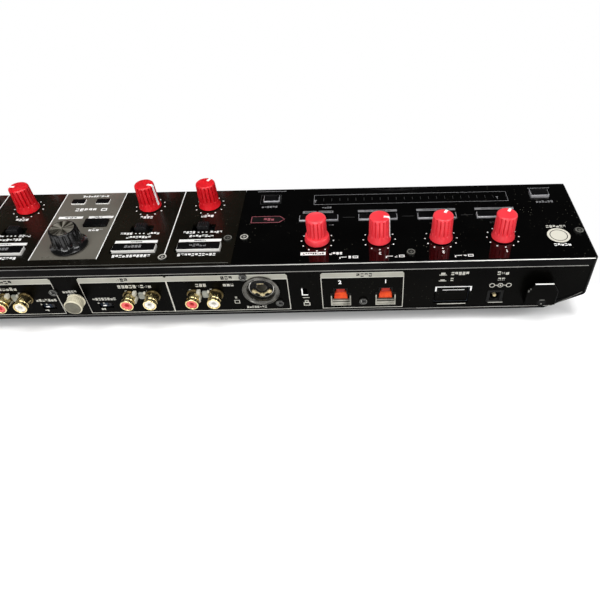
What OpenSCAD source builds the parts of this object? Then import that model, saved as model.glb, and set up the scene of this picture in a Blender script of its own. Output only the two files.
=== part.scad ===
// DJ mixer desk: four mixer channels between two jog-wheel decks, with its sockets on the rear panel.
// Millimetres. +Z is up, the user stands on the -Y side and the sockets face +Y.
// The origin is on the surface the desk stands on, under the middle of the whole desk.
// Places on the top are given as [x, d], where d is measured forward from the rear edge.
// Places on the rear panel are given as [x, h], where h is measured down from the top.

/* [Case] */
// Width of the case
body_w = 664; // [662:1:690]
// Depth of the case from front wall to rear panel
body_d = 345; // [343:1:370]
// Height of the case without its feet
case_h = 42; // [42:0.5:50]
// Thickness of the moulded case walls
wall = 2.5; // [2.2:0.1:2.8]
// Radius of the upright corners of the case
corner_r = 3; // [2:0.5:6]
// How far the slanted sides run in towards the bottom
slant_w = 26; // [18:1:30]
// Height of the slanted part of the sides
slant_h = 12.6; // [11:0.2:15]
// Width of the rim round the top plates
rim_w = 1.6; // [1.2:0.1:2.2]
// Chamfer along the top edges of the case
edge_chamfer = 0.8; // [0.4:0.1:1.2]
// Height of the case strip above the rear panel
lip_h = 5.6; // [4.5:0.1:6]
// Height of the rubber feet
foot_h = 10; // [6:0.5:16]
// Diameter of the rubber feet
foot_d = 24; // [18:1:30]

/* [Top plates] */
// Thickness of the top plates
plate_t = 2; // [1.6:0.1:2.4]
// Width of the middle plate that carries the mixer
mixer_w = 212; // [212:1:216]
// Gap round each plate
plate_gap = 0.15; // [0.1:0.05:0.3]
// Thickness of the ledges under the plates
ledge_t = 2; // [1.6:0.1:2.6]
// Width of the ledges at the sides and between the plates
ledge_w = 7; // [6:0.2:7]
// Width of the ledges at the front and the rear
ledge_d = 10; // [8:0.2:10.5]

/* [Rear panel] */
// Thickness of the rear panel
panel_t = 1.6; // [1.2:0.1:1.8]
// How far the rear panel lies inside the case's rear edge
panel_inset = 0.3; // [0.2:0.1:0.8]
// Depth of the flange that stands on the case floor
flange_d = 9; // [6:0.5:10]
// Outer diameter of a phono socket
phono_d = 8.3; // [8.1:0.1:8.6]
// How far a phono socket stands out
phono_out = 9.5; // [8:0.5:10.5]
// Drop of the phono sockets below the top
phono_drop = 24; // [22.5:0.5:25]
// Outer diameter of a microphone socket's ring
mic_ring_d = 23.7; // [22:0.1:25]
// Drop of the microphone and balanced sockets below the top
mic_drop = 21.2; // [19.5:0.1:22]
// Diameter of the plug that a jack socket takes
jack_d = 6.35; // [6.3:0.01:6.4]
// How far the ground terminal, the furthest of the sockets, stands out
ground_out = 10.5; // [10:0.5:12]
// Width of the cord hook
hook_w = 19.8; // [18:0.1:22]

/* [Controls] */
// Pitch of the effect knobs across a deck
fx_pitch = 39.5; // [38:0.5:41]
// Offset of the two channel columns on each side of the middle
column_near = 42; // [41:0.5:44]
// Offset of the outer channel columns
column_far = 83; // [81:0.5:83]
// Pitch of the tone knobs along a channel
tone_pitch = 31; // [29:0.5:31.5]
// Diameter of a knob at its foot
knob_d = 14.9; // [13:0.1:16]
// Diameter of a knob at its top
knob_top_d = 12.8; // [11:0.1:13]
// Height of a knob
knob_h = 17.9; // [15:0.1:20]
// Diameter of every control shaft
shaft_d = 6; // [5:0.1:6.4]
// Gap between a knob and the plate
knob_gap = 0.6; // [0.4:0.1:1.2]
// Number of flutes round a knob
flutes = 16; // [12:2:20]
// Diameter of a jog wheel
jog_d = 152; // [140:1:155]
// Height of a jog wheel
jog_h = 11; // [9:0.5:13]
// Travel of a channel fader and of the crossfader
fader_travel = 45; // [40:1:50]
// Travel of a tempo fader
tempo_travel = 60; // [50:1:70]
// Travel of a push button
press_travel = 0.8; // [0.5:0.1:1]

/* [Hidden] */
$fn = 48;
// Clearances
slip = 0.05; // between a cap and the shaft it is pushed on
free = 0.3;  // round anything that turns or slides
hole_gap = 0.4; // round a button in its plate
seat = 0.1; // round a fixed screw or socket in its hole
cut = 1; // how far a cutting shape runs past a face

// Heights
z_base = foot_h;
z_floor = z_base + wall;
z_split = z_base + slant_h;
z_top = z_base + case_h;
z_plate = z_top - plate_t;
z_ledge = z_plate - ledge_t;
board_t = 1.6;
board_drop = 16;
z_board = z_top - board_drop;
knob_z = z_top + knob_gap;

// The case, the ground terminal behind it and the jack lips before it lie centred on the origin together
jack_lip = 0.8;
y_rear = (body_d - ground_out + jack_lip) / 2;
y_front = y_rear - body_d;
x_side = body_w / 2;
x_floor = x_side - slant_w;
inner_slant = wall * sqrt(1 + pow(slant_w / slant_h, 2));
y_panel = y_rear - panel_inset;
y_behind = y_panel - panel_t;

// Decks
deck_x = (x_side + mixer_w / 2) / 2;
deck_w = x_side - mixer_w / 2;
left_column = 21 - deck_w / 2;
right_column = deck_w / 2 - 19;
decks = [-1, 1];
// Rows up to near_rows keep their distance from the rear edge; the rest spread over the remaining depth
near_rows = 75;
drawn_d = 345;
function row(d) = d <= near_rows ? d : near_rows + (d - near_rows) * (body_d - near_rows) / (drawn_d - near_rows);
fx_first = -58;
fx_row = 22.7;
fx_x = [for (i = [0:3]) fx_first + i * fx_pitch];
spindle_d = 12;
tempo_in = 17; // tempo fader from the deck's right edge
jog_clear = 6.5; // between the jog wheel and the tempo fader's cap
fader_cap = [11, 20, 9];
tempo_spot = [deck_w / 2 - tempo_in, row(160)];
jog_spot = [tempo_spot[0] - fader_cap[1] / 2 - jog_clear - jog_d / 2, row(171)];
fx_button_row = 46.5;

// Mixer columns, in channel order: 1 and 2 beside the middle, 3 and 4 outside
channels = [1:4];
column_x = [0, -column_near, column_near, -column_far, column_far];
load_row = 18;
selector_row = 39;
trim_row = 64;
high_row = 107;
tone_rows = [for (i = [0:2]) row(high_row + i * tone_pitch)];
cue_row = row(198);
fader_row = row(244);
cross_row = row(304);
browse_spot = [0, 23];
master_spot = [0, tone_rows[0]];
phones_spot = [0, tone_rows[2]];
selector_travel = 6;

// How far each knob is turned at rest, anticlockwise from pointing to the rear
fx_turn = [150, 150, 90, 0];
trim_turn = [0, 75, -90, 150, 0];

// Rear panel places, measured from the middle or in from the case's side
phono_spots = [[-38, 0], [-52.4, 1], [42, 0], [29.2, 1], [-79, 0], [-92.7, 1],
               [93.5, 0], [79.5, 1], [x_side - 70, 0], [x_side - 84, 1]];
mic_x = [-122, 122];
balanced_x = [x_side - 151, x_side - 112];
booth_x = [x_side - 46, x_side - 24.5];
booth_drop = 24;
phones_x = 26 - x_side;
phones_drop = 18;
small_jack_d = 3.6;
ground_x = -4.8;
ground_drop = 23.3;
lock_x = -149.7;
lock_drop = 24.2;
usb_x = [-172.6, -201.5];
usb_drop = 30.6;
usb_w = 13;
usb_h = 10.6;
usb_top_w = 8.6;
usb_top_h = 4.4;
power_x = 88 - x_side;
power_drop = 28.5;
power_w = 22.5;
power_h = 15.4;
power_travel = 2.5;
dc_x = 59.6 - x_side;
dc_drop = 31;
dc_w = 10.5;
hook_x = 31.8 - x_side;
hook_drop = 24.3;
hook_h = 18.4;
phono_switch_x = [-20, 17];
phono_switch_drop = 32;

case_black = "#17171a";
red = "#dd2a36";

// ---------- shared shapes ----------

// A place on the top or on a deck, as [x, y]
function on_top(spot) = [spot[0], y_rear - spot[1]];
function deck_spot(side, spot) = [side * deck_x + spot[0], y_rear - spot[1]];

// A block standing on z = 0 with its upright corners rounded
module rounded_block(w, d, h, r) {
    translate([-w / 2 + r, -d / 2, 0]) cube([w - 2 * r, d, h]);
    translate([-w / 2, -d / 2 + r, 0]) cube([w, d - 2 * r, h]);
    for (x = [-1, 1], y = [-1, 1])
        translate([x * (w / 2 - r), y * (d / 2 - r), 0]) cylinder(r = r, h = h);
}

// The same with a chamfer c round its top
module chamfered_block(w, d, h, r, c) {
    rounded_block(w, d, h - c, r);
    translate([0, 0, h - c]) {
        for (x = [-1, 1], y = [-1, 1])
            translate([x * (w / 2 - r), y * (d / 2 - r), 0]) cylinder(r1 = r, r2 = r - c, h = c);
        translate([0, d / 2 - r, 0]) rotate([90, 0, 0]) linear_extrude(d - 2 * r)
            polygon([[-w / 2, 0], [w / 2, 0], [w / 2 - c, c], [c - w / 2, c]]);
        translate([r - w / 2, 0, 0]) rotate([90, 0, 90]) linear_extrude(w - 2 * r)
            polygon([[-d / 2, 0], [d / 2, 0], [d / 2 - c, c], [c - d / 2, c]]);
    }
}

module centred_block(w, d, h) {
    translate([-w / 2, -d / 2, 0]) cube([w, d, h]);
}

// Places a child drawn along +Z so that it points out of the rear panel at [x, h]
module on_rear(x, drop) {
    translate([x, y_panel, z_top - drop]) rotate([-90, 0, 0]) children();
}

// The same, with X staying X and the child's +Y pointing down the panel
module behind_panel(x, drop) {
    translate([x, y_behind, z_top - drop]) rotate([90, 0, 0]) children();
}

// A bushing's hole through a top plate
module bushing_hole(spot) {
    translate(concat(spot, z_plate - cut)) cylinder(d = bushing_d + 2 * free, h = plate_t + 2 * cut);
}

// ---------- buttons ----------

// Each button is [x, d, width, depth, how far it stands proud]
load_size = [column_far - column_near - 12.4, 7];
cue_size = [14, 7];
back_button = [-10, 46, 15.7, 8, 1.6];
small_button_spots = [[9.7, 71], [-7.2, 71]];
mixer_button_spots = concat(
    [for (c = channels) [column_x[c], load_row, load_size[0], load_size[1], 2.2]],
    [for (c = channels) [column_x[c], cue_row, cue_size[0], cue_size[1], 1.6]],
    [back_button],
    [for (spot = small_button_spots) [spot[0], spot[1], 9.6, 5.6, 1.2]]);

// Pads fill the width between the transport buttons and the right column, four across and two deep
pad_gap = 10;
pad_row_gap = 3;
pads_left = 47 - deck_w / 2;
pads_right = deck_w / 2 - 45;
pad_rows = [row(279), row(306)];
pad_w = (pads_right - pads_left - 3 * pad_gap) / 4;
pad_d = pad_rows[1] - pad_rows[0] - pad_row_gap;
function pad_x(i) = pads_left + pad_w / 2 + i * (pad_w + pad_gap);
pad_spots = [for (i = [0:3]) for (d = pad_rows) [pad_x(i), d, pad_w, pad_d, 1.8]];

// Deck buttons, from the deck's middle
mode_row = row(256);
side_size = [16, 9];
small_size = [14, 7];
deck_button_spots = concat(
    [for (x = fx_x) [x, fx_button_row, 26, 6, 1.4]],
    [[left_column, 69.6, 12.7, 8, 2.2], [right_column, 70, 11.2, 7, 1.2]],
    [for (i = [0:3]) [pad_x(i), mode_row, pad_w - 4, 6, 1.2]],
    [for (d = [104, 131, 158, 185, 216]) [left_column, row(d), side_size[0], side_size[1], 1.6]],
    [for (d = [214, 264, 290]) [right_column, row(d), small_size[0], small_size[1], 1.2]]);
transport_spots = [for (d = [264, 300]) [left_column + 2, row(d)]];
transport_d = 22;
transport_proud = 2.4;

flange_out = 0.8;
flange_t = 1.2;
switch_h = 4.5;
switch_w = 6;
stem_w = 3;
stem_foot = z_board + switch_h + press_travel + free;

module button(w, d, proud) {
    translate([0, 0, z_plate - hole_gap - flange_t])
        centred_block(w, d, plate_t + hole_gap + flange_t + proud);
    translate([0, 0, z_plate - hole_gap - flange_t])
        centred_block(w + 2 * (hole_gap + flange_out), d + 2 * (hole_gap + flange_out), flange_t);
    translate([0, 0, stem_foot])
        centred_block(stem_w, stem_w, z_plate - hole_gap - stem_foot);
}

module round_button(d, proud) {
    translate([0, 0, z_plate - hole_gap - flange_t])
        cylinder(d = d, h = plate_t + hole_gap + flange_t + proud);
    translate([0, 0, z_plate - hole_gap - flange_t])
        cylinder(d = d + 2 * (hole_gap + flange_out), h = flange_t);
    translate([0, 0, stem_foot])
        centred_block(stem_w, stem_w, z_plate - hole_gap - stem_foot);
}

// The key switch that a button presses, standing on the board
module key_switch() {
    translate([0, 0, z_board]) centred_block(switch_w, switch_w, switch_h);
}

module button_hole(w, d) {
    translate([0, 0, z_plate - cut])
        centred_block(w + 2 * hole_gap, d + 2 * hole_gap, plate_t + 2 * cut);
}

// ---------- knobs ----------

bushing_d = 9;
pot_w = 11;
pot_h = 7;
shaft_foot = z_board + 1.5;
groove_d = 1.1;
groove_foot = 4.6;
groove_start = 0.3; // grooves begin this much above the skirt
pointer_w = 1.2;
pointer_depth = 0.3;
cap_wall = 1.7;
hub_d = 9;

// A fluted cap: a skirt, a slightly tapered grip with upright grooves, and a flat top
module fluted_cap(foot_d, top_d, h, pointed) {
    taper = (foot_d - top_d) / 2 / h;
    difference() {
        rotate_extrude() polygon([
            [0, 0], [foot_d / 2, 0], [foot_d / 2, 1], [foot_d / 2 - taper * h * 0.6, groove_foot],
            [top_d / 2, h - 1], [top_d / 2 - 1, h], [0, h]]);
        // Hollow round the hub
        difference() {
            translate([0, 0, -cut]) cylinder(r = foot_d / 2 - cap_wall, h = 4 + cut);
            translate([0, 0, -2 * cut]) cylinder(d = hub_d, h = 4 + 3 * cut);
        }
        translate([0, 0, -cut]) cylinder(d = shaft_d + 2 * slip, h = h - 4 + cut);
        for (i = [0:flutes - 1])
            rotate([0, 0, (i + 0.5) * 360 / flutes])
                translate([top_d / 2 + groove_d / 4, 0, groove_foot + groove_start])
                    cylinder(d = groove_d, h = h - groove_foot - 1.4 - groove_start, $fn = 16);
        if (pointed)
            translate([-pointer_w / 2, 0.6, h - pointer_depth])
                cube([pointer_w, top_d / 2, pointer_depth + cut]);
    }
}

// Shaft from inside its pot up to the top of the cap's bore
module shaft(cap_h) {
    translate([0, 0, shaft_foot]) cylinder(d = shaft_d, h = knob_z + cap_h - 4 - free - shaft_foot);
}

module knob(spot, turn = 0, cap_d = knob_d, top_d = knob_top_d, h = knob_h, pointed = true) {
    translate(concat(spot, 0)) {
        color(red) translate([0, 0, knob_z]) rotate([0, 0, turn]) fluted_cap(cap_d, top_d, h, pointed);
        color("silver") shaft(h);
    }
}

// Beats encoder: the same cap with a wide collar at its foot
collar_d = 16.4;
collar_h = 4.2;
module beats_knob(spot) {
    translate(concat(spot, 0)) {
        color(red) translate([0, 0, knob_z]) {
            fluted_cap(knob_d - 1, knob_top_d, knob_h, false);
            difference() {
                cylinder(d1 = collar_d, d2 = collar_d - 0.6, h = collar_h);
                translate([0, 0, -cut]) cylinder(d = knob_d - 2, h = collar_h + 2 * cut);
            }
        }
        color("silver") shaft(knob_h);
    }
}

// Potentiometer or encoder body with its threaded bushing
module pot(spot) {
    translate(concat(spot, 0)) difference() {
        union() {
            translate([0, 0, z_board]) centred_block(pot_w, pot_w, pot_h);
            translate([0, 0, z_board]) cylinder(d = bushing_d, h = z_top - free - z_board);
        }
        translate([0, 0, shaft_foot - free]) cylinder(d = shaft_d + 2 * free, h = board_drop + cut);
    }
}

deck_knob_spots = [for (s = decks) for (x = fx_x) deck_spot(s, [x, fx_row])];
mixer_knob_spots = concat(
    [for (c = channels) for (row = concat([trim_row], tone_rows)) on_top([column_x[c], row])],
    [on_top(browse_spot), on_top(master_spot), on_top(phones_spot)]);

browse_cap_h = 13.4;
browse_top_d = 17;
browse_foot_d = 23;
module browse_knob() {
    translate(concat(on_top(browse_spot), 0)) {
        color("#101012") translate([0, 0, knob_z]) difference() {
            rotate_extrude() polygon([
                [0, 0], [browse_foot_d / 2, 0], [browse_foot_d / 2, 1.2],
                [browse_top_d / 2 + 0.8, 3.4], [browse_top_d / 2, browse_cap_h - 0.8],
                [browse_top_d / 2 - 0.8, browse_cap_h], [0, browse_cap_h]]);
            translate([0, 0, -cut]) cylinder(d = shaft_d + 2 * slip, h = browse_cap_h - 4 + cut);
            for (i = [0:flutes - 1])
                rotate([0, 0, i * 360 / flutes])
                    translate([browse_top_d / 2 + 0.9, 0, 3.4 + groove_start])
                        cylinder(d = 2, h = browse_cap_h - 5 - groove_start, $fn = 16);
        }
        color("silver") shaft(browse_cap_h);
    }
}

// ---------- jog wheels ----------

jog_gap = 2;
jog_wall = 4;
jog_top_t = 3;
jog_flutes = 48;
bearing_d = 28;
module jog(side) {
    spot = deck_spot(side, jog_spot);
    translate(concat(spot, 0)) {
        color("#26262a") translate([0, 0, z_top + jog_gap]) difference() {
            rotate_extrude($fn = 96) polygon([
                [0, 0], [jog_d / 2 - 1, 0], [jog_d / 2, 1], [jog_d / 2, jog_h - 2],
                [jog_d / 2 - 2, jog_h], [jog_d / 2 - 16, jog_h], [jog_d / 2 - 18, jog_h - 1.2],
                [0, jog_h - 1.2]]);
            difference() {
                translate([0, 0, -cut]) cylinder(d = jog_d - 2 * jog_wall, h = jog_h - jog_top_t + cut, $fn = 96);
                translate([0, 0, -2 * cut]) cylinder(d = 2 * spindle_d, h = jog_h + 2 * cut);
            }
            translate([0, 0, -cut]) cylinder(d = spindle_d + 2 * slip, h = jog_h - jog_top_t + cut);
            for (i = [0:jog_flutes - 1])
                rotate([0, 0, i * 360 / jog_flutes])
                    translate([jog_d / 2 + 1, 0, 1.5]) cylinder(d = 4, h = jog_h - 4, $fn = 20);
        }
        color("silver") translate([0, 0, z_board + wall])
            cylinder(d = spindle_d, h = z_top + jog_gap + jog_h - jog_top_t - free - z_board - wall);
    }
}

module jog_bearing(side) {
    translate(concat(deck_spot(side, jog_spot), z_board)) difference() {
        cylinder(d = bearing_d, h = board_drop - plate_t - free);
        translate([0, 0, wall - free]) cylinder(d = spindle_d + 2 * free, h = board_drop);
    }
}

// ---------- faders ----------

fader_body_w = 11;
fader_body_h = 9;
fader_end = 8;
fader_stem = [1.4, 5];
fader_slot_w = fader_stem[0] + 2 * hole_gap;
fader_gap = 0.8;

// A fader's guide along Y: a long body with a slot for the cap's stem
module fader_body(travel) {
    difference() {
        translate([0, 0, z_board]) centred_block(fader_body_w, travel + 2 * fader_end, fader_body_h);
        translate([0, 0, z_board + 2])
            centred_block(fader_slot_w, travel + fader_stem[1] + 2 * hole_gap, fader_body_h);
    }
}

module fader_hole(travel) {
    translate([0, 0, z_plate - cut])
        centred_block(fader_slot_w + 0.4, travel + fader_stem[1] + 2, plate_t + 2 * cut);
}

// The cap is waisted, with a line across its top
module fader_cap_and_stem() {
    cap = fader_cap;
    color("#202024") translate([0, 0, z_top + fader_gap]) difference() {
        rotate([0, 90, 0]) translate([0, 0, -cap[1] / 2]) linear_extrude(cap[1])
            polygon([[0, -cap[0] / 2], [0, cap[0] / 2], [-cap[2], cap[0] / 2 - 1],
                     [-cap[2] + 2, 0], [-cap[2], 1 - cap[0] / 2]]);
        translate([0, 0, -cut]) centred_block(fader_stem[0] + 2 * slip, fader_stem[1] + 2 * slip, 4 + cut);
    }
    color("silver") translate([0, 0, z_board + 2 + free])
        centred_block(fader_stem[0], fader_stem[1], z_top + fader_gap + 4 - free - z_board - 2 - free);
}

module channel_fader(c) {
    translate(concat(on_top([column_x[c], fader_row]), 0)) fader_cap_and_stem();
}

module tempo_fader(side) {
    translate(concat(deck_spot(side, tempo_spot), 0)) fader_cap_and_stem();
}

module crossfader() {
    translate(concat(on_top([0, cross_row]), 0)) rotate([0, 0, 90]) fader_cap_and_stem();
}

// ---------- input selectors ----------

selector_well = [15, 7.3];
selector_lever = [7.4, 5.4];
selector_up = 3.4;
selector_stem = [2.4, 2.4];
selector_body_h = 8;
module selector(c) {
    translate(concat(on_top([column_x[c], selector_row]), 0)) {
        color("#1c1c20") translate([0, 0, z_plate - 1]) difference() {
            linear_extrude(plate_t + 1 + selector_up) square(selector_lever, center = true);
            for (s = [-1, 1])
                translate([s * selector_lever[0] / 2, 0, plate_t + 1 + selector_up])
                    rotate([0, 45, 0]) centred_block(2.4, selector_lever[1] + cut, 2.4);
        }
        color("silver") translate([0, 0, z_board + 3 + free])
            centred_block(selector_stem[0], selector_stem[1], z_plate - 1 - z_board - 3 - free);
    }
}

module selector_body(c) {
    translate(concat(on_top([column_x[c], selector_row]), 0)) difference() {
        translate([0, 0, z_board]) centred_block(18, 8, selector_body_h);
        translate([0, 0, z_board + 3])
            centred_block(selector_travel + selector_stem[0] + 2 * hole_gap,
                          selector_stem[1] + 2 * hole_gap, selector_body_h);
    }
}

// ---------- case ----------

screw_d = 2.5;
screw_head_d = 5.3;
screw_head_h = 1.2;
screw_l = 5;
joint_inset = 5.2; // plate screws from the line between two plates
plate_screws = concat(
    [for (s = decks) for (spot = [[mixer_w / 2 + joint_inset, 26.9], [deck_x - 1.8, 8.6],
                                  [x_side - wall - ledge_w / 2, 26.9],
                                  [x_side - wall - ledge_w / 2, row(200)],
                                  [mixer_w / 2 + joint_inset, row(200)], [deck_x, body_d - 7]])
        [s * spot[0], spot[1]]],
    [for (s = decks) for (spot = [[62.7, 8.6], [mixer_w / 2 - joint_inset, 26.4],
                                  [mixer_w / 2 - joint_inset, row(200)], [62.7, body_d - 7]])
        [s * spot[0], spot[1]]]);

module at_plate_screws() {
    for (spot = plate_screws) translate(concat(on_top(spot), 0)) children();
}

// Board posts, from the middle of their board
post_d = 7;
post_left = 35 - deck_w / 2;
post_right = deck_w / 2 - 33;
post_spots = [[post_left, 36], [post_right, 46], [post_left, row(234)], [post_right, row(234)],
              [post_left + 6, row(310)], [post_right, row(310)]];
mixer_post_x = (column_near + column_far) / 2;
mixer_post_spots = [for (side = [-1, 1]) for (d = [42, row(152), row(296)]) [side * mixer_post_x, d]];
module at_board_posts() {
    for (s = decks, spot = post_spots) translate(concat(deck_spot(s, spot), 0)) children();
    for (spot = mixer_post_spots) translate(concat(on_top(spot), 0)) children();
}

// Feet and case screws, [x, y]
foot_in = 34; // feet from the edges of the flat bottom
foot_spots = [for (x = [-1, 0, 1], y = [-1, 1])
    [x * (x_floor - foot_in), y * (body_d / 2 - foot_in - 2) + (jack_lip - ground_out) / 2]];
case_screw_d = 3;
case_screw_head = 6;
case_screw_bite = 8;
case_boss_d = 7;
case_screw_x = [for (i = [-2:2]) i * (x_floor - foot_in) / 2];
front_gap = 5.5;
case_screw_spots = [for (x = case_screw_x) [x, y_front + wall + front_gap]];
case_screw_z = z_split - 6;
// Screws from below into the flange of the rear panel
flange_screw_in = 26;
flange_screw_x = [for (i = [-2:2]) i * (x_floor - flange_screw_in) / 2];
module at_flange_screws() {
    for (x = flange_screw_x) translate([x, y_panel - flange_d / 2, z_base]) children();
}

module lower_case() {
    color(case_black) difference() {
        union() {
            difference() {
                intersection() {
                    translate([0, y_rear, 0]) rotate([90, 0, 0]) linear_extrude(body_d)
                        polygon([[-x_floor, z_base], [x_floor, z_base], [x_side, z_split], [-x_side, z_split]]);
                    translate([0, (y_rear + y_front) / 2, z_base]) rounded_block(body_w, body_d, slant_h, corner_r);
                }
                // Inside of the tray, open at the rear for the panel
                rise = slant_w / slant_h;
                inner_x = x_floor - inner_slant;
                translate([0, y_rear + cut, 0]) rotate([90, 0, 0]) linear_extrude(body_d - wall + cut)
                    polygon([[-inner_x - rise * wall, z_floor], [inner_x + rise * wall, z_floor],
                             [inner_x + rise * (slant_h + cut), z_split + cut],
                             [-inner_x - rise * (slant_h + cut), z_split + cut]]);
            }
            at_board_posts() translate([0, 0, z_floor - cut / 2])
                cylinder(d = post_d, h = z_board - board_t - z_floor + cut / 2);
            // Bosses that the case screws pass through, cut to the slanted side
            intersection() {
                for (spot = case_screw_spots)
                    translate(concat(spot, z_base)) cylinder(d = case_boss_d, h = slant_h);
                translate([0, y_rear, 0]) rotate([90, 0, 0]) linear_extrude(body_d)
                    polygon([[-x_floor, z_base], [x_floor, z_base], [x_side, z_split], [-x_side, z_split]]);
            }
        }
        at_board_posts() translate([0, 0, z_board - board_t - screw_l])
            cylinder(d = screw_d + seat, h = screw_l + cut);
        for (spot = case_screw_spots) translate(concat(spot, 0)) {
            cylinder(d = case_screw_d + 2 * seat, h = z_split + cut);
            cylinder(d = case_screw_head + 2 * seat, h = case_screw_z);
        }
        for (spot = foot_spots) translate(concat(spot, z_base - cut))
            cylinder(d = case_screw_d + 2 * seat, h = wall + 2 * cut);
        at_flange_screws() translate([0, 0, -cut]) cylinder(d = screw_d + 2 * seat, h = wall + 2 * cut);
    }
}

// A window in the ledges, from x0 to x1
module ledge_window(x0, x1) {
    translate([x0, y_front + wall + ledge_d, z_ledge - cut])
        cube([x1 - x0, body_d - 2 * (wall + ledge_d), ledge_t + 2 * cut]);
}

module top_case() {
    color(case_black) difference() {
        union() {
            difference() {
                translate([0, (y_rear + y_front) / 2, z_split])
                    chamfered_block(body_w, body_d, z_top - z_split, corner_r, edge_chamfer);
                // Bed for the plates
                translate([-x_side + rim_w, y_front + rim_w, z_plate])
                    cube([body_w - 2 * rim_w, body_d - 2 * rim_w, plate_t + cut]);
                // Inside below the ledges
                translate([-x_side + wall, y_front + wall, z_split - cut])
                    cube([body_w - 2 * wall, body_d - 2 * wall, z_ledge - z_split + cut]);
                // Rear opening for the panel
                translate([-x_side + wall, y_rear - wall - cut, z_split - cut])
                    cube([body_w - 2 * wall, wall + 2 * cut, z_top - lip_h - z_split + cut]);
                ledge_window(-x_side + wall + ledge_w, -mixer_w / 2 - ledge_w);
                ledge_window(-mixer_w / 2 + ledge_w, mixer_w / 2 - ledge_w);
                ledge_window(mixer_w / 2 + ledge_w, x_side - wall - ledge_w);
            }
            for (spot = case_screw_spots)
                translate(concat(spot, z_split)) cylinder(d = case_boss_d, h = z_ledge - z_split + ledge_t / 2);
        }
        for (spot = case_screw_spots)
            translate(concat(spot, z_split - cut))
                cylinder(d = case_screw_d + 2 * seat, h = case_screw_bite + free + cut);
        at_plate_screws() translate([0, 0, z_ledge - cut]) cylinder(d = screw_d + seat, h = ledge_t + 2 * cut);
        // Phones sockets in the front wall
        for (socket = [[phones_x, jack_nut_d], [phones_x + small_jack_step, jack_nut_d - small_nut_less]])
            translate([socket[0], y_front - cut, z_top - phones_drop]) rotate([-90, 0, 0])
                cylinder(d = socket[1] + 2 * seat, h = wall + 2 * cut);
    }
}

bed_d = body_d - 2 * (rim_w + plate_gap);
module plate_slab(x0, x1) {
    translate([x0 + plate_gap, y_front + rim_w + plate_gap, z_plate])
        cube([x1 - x0 - 2 * plate_gap, bed_d, plate_t]);
}

module deck_plates() {
    color("#0b0b0d") for (s = decks) difference() {
        if (s < 0) plate_slab(-x_side + rim_w, -mixer_w / 2);
        else plate_slab(mixer_w / 2, x_side - rim_w);
        for (x = fx_x) bushing_hole(deck_spot(s, [x, fx_row]));
        translate(concat(deck_spot(s, jog_spot), z_plate - cut))
            cylinder(d = spindle_d + 4, h = plate_t + 2 * cut);
        translate(concat(deck_spot(s, tempo_spot), 0)) fader_hole(tempo_travel);
        for (b = concat(deck_button_spots, pad_spots))
            translate(concat(deck_spot(s, b), 0)) button_hole(b[2], b[3]);
        for (spot = transport_spots) translate(concat(deck_spot(s, spot), z_plate - cut))
            cylinder(d = transport_d + 2 * hole_gap, h = plate_t + 2 * cut);
        at_plate_screws() translate([0, 0, z_plate - cut])
            cylinder(d = screw_d + 4 * seat, h = plate_t + 2 * cut);
    }
}

module mixer_plate() {
    color("#2b2723") difference() {
        plate_slab(-mixer_w / 2, mixer_w / 2);
        for (spot = mixer_knob_spots) bushing_hole(spot);
        for (c = channels) {
            translate(concat(on_top([column_x[c], selector_row]), z_plate - cut))
                centred_block(selector_well[0], selector_well[1], plate_t + 2 * cut);
            translate(concat(on_top([column_x[c], fader_row]), 0)) fader_hole(fader_travel);
        }
        translate(concat(on_top([0, cross_row]), 0)) rotate([0, 0, 90]) fader_hole(fader_travel);
        for (b = mixer_button_spots) translate(concat(on_top(b), 0)) button_hole(b[2], b[3]);
        at_plate_screws() translate([0, 0, z_plate - cut])
            cylinder(d = screw_d + 4 * seat, h = plate_t + 2 * cut);
    }
}

// Boards: one under each deck with a notch for the microphone socket, one under the mixer
board_rear = 16;
board_front = row(316);
notch_depth = 18;
module boards() {
    board_d = board_front - board_rear;
    color("#1d5b3a") difference() {
        union() {
            for (s = decks) translate([s * deck_x - deck_w / 2 + ledge_w, y_rear - board_front, z_board - board_t])
                cube([deck_w - 2 * ledge_w, board_d, board_t]);
            translate([-mixer_w / 2 + ledge_w, y_rear - board_front, z_board - board_t])
                cube([mixer_w - 2 * ledge_w, board_d, board_t]);
        }
        for (x = mic_x) translate([x - mic_ring_d / 2, y_rear - board_rear - notch_depth, z_board - board_t - cut])
            cube([mic_ring_d, notch_depth + cut, board_t + 2 * cut]);
        at_board_posts() translate([0, 0, z_board - board_t - cut])
            cylinder(d = screw_d + 2 * seat, h = board_t + 2 * cut);
    }
}

module control_bodies() {
    color("#3b6e8f") {
        for (spot = concat(deck_knob_spots, mixer_knob_spots)) pot(spot);
        for (s = decks) {
            jog_bearing(s);
            translate(concat(deck_spot(s, tempo_spot), 0)) fader_body(tempo_travel);
            for (b = concat(deck_button_spots, pad_spots, transport_spots))
                translate(concat(deck_spot(s, b), 0)) key_switch();
        }
        for (c = channels) {
            selector_body(c);
            translate(concat(on_top([column_x[c], fader_row]), 0)) fader_body(fader_travel);
        }
        translate(concat(on_top([0, cross_row]), 0)) rotate([0, 0, 90]) fader_body(fader_travel);
        for (b = mixer_button_spots) translate(concat(on_top(b), 0)) key_switch();
        power_switch_body();
        for (x = phono_switch_x) phono_switch_body(x);
    }
}

module mixer_buttons() {
    color("#141416") for (b = mixer_button_spots) translate(concat(on_top(b), 0)) button(b[2], b[3], b[4]);
}

module deck_buttons() {
    color("#1b1b1f") for (s = decks) {
        for (b = deck_button_spots) translate(concat(deck_spot(s, b), 0)) button(b[2], b[3], b[4]);
        for (spot = transport_spots) translate(concat(deck_spot(s, spot), 0)) round_button(transport_d, transport_proud);
    }
}

module pads() {
    color("#2c2c31") for (s = decks, b = pad_spots) translate(concat(deck_spot(s, b), 0)) button(b[2], b[3], b[4]);
}

// ---------- feet and screws ----------

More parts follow.
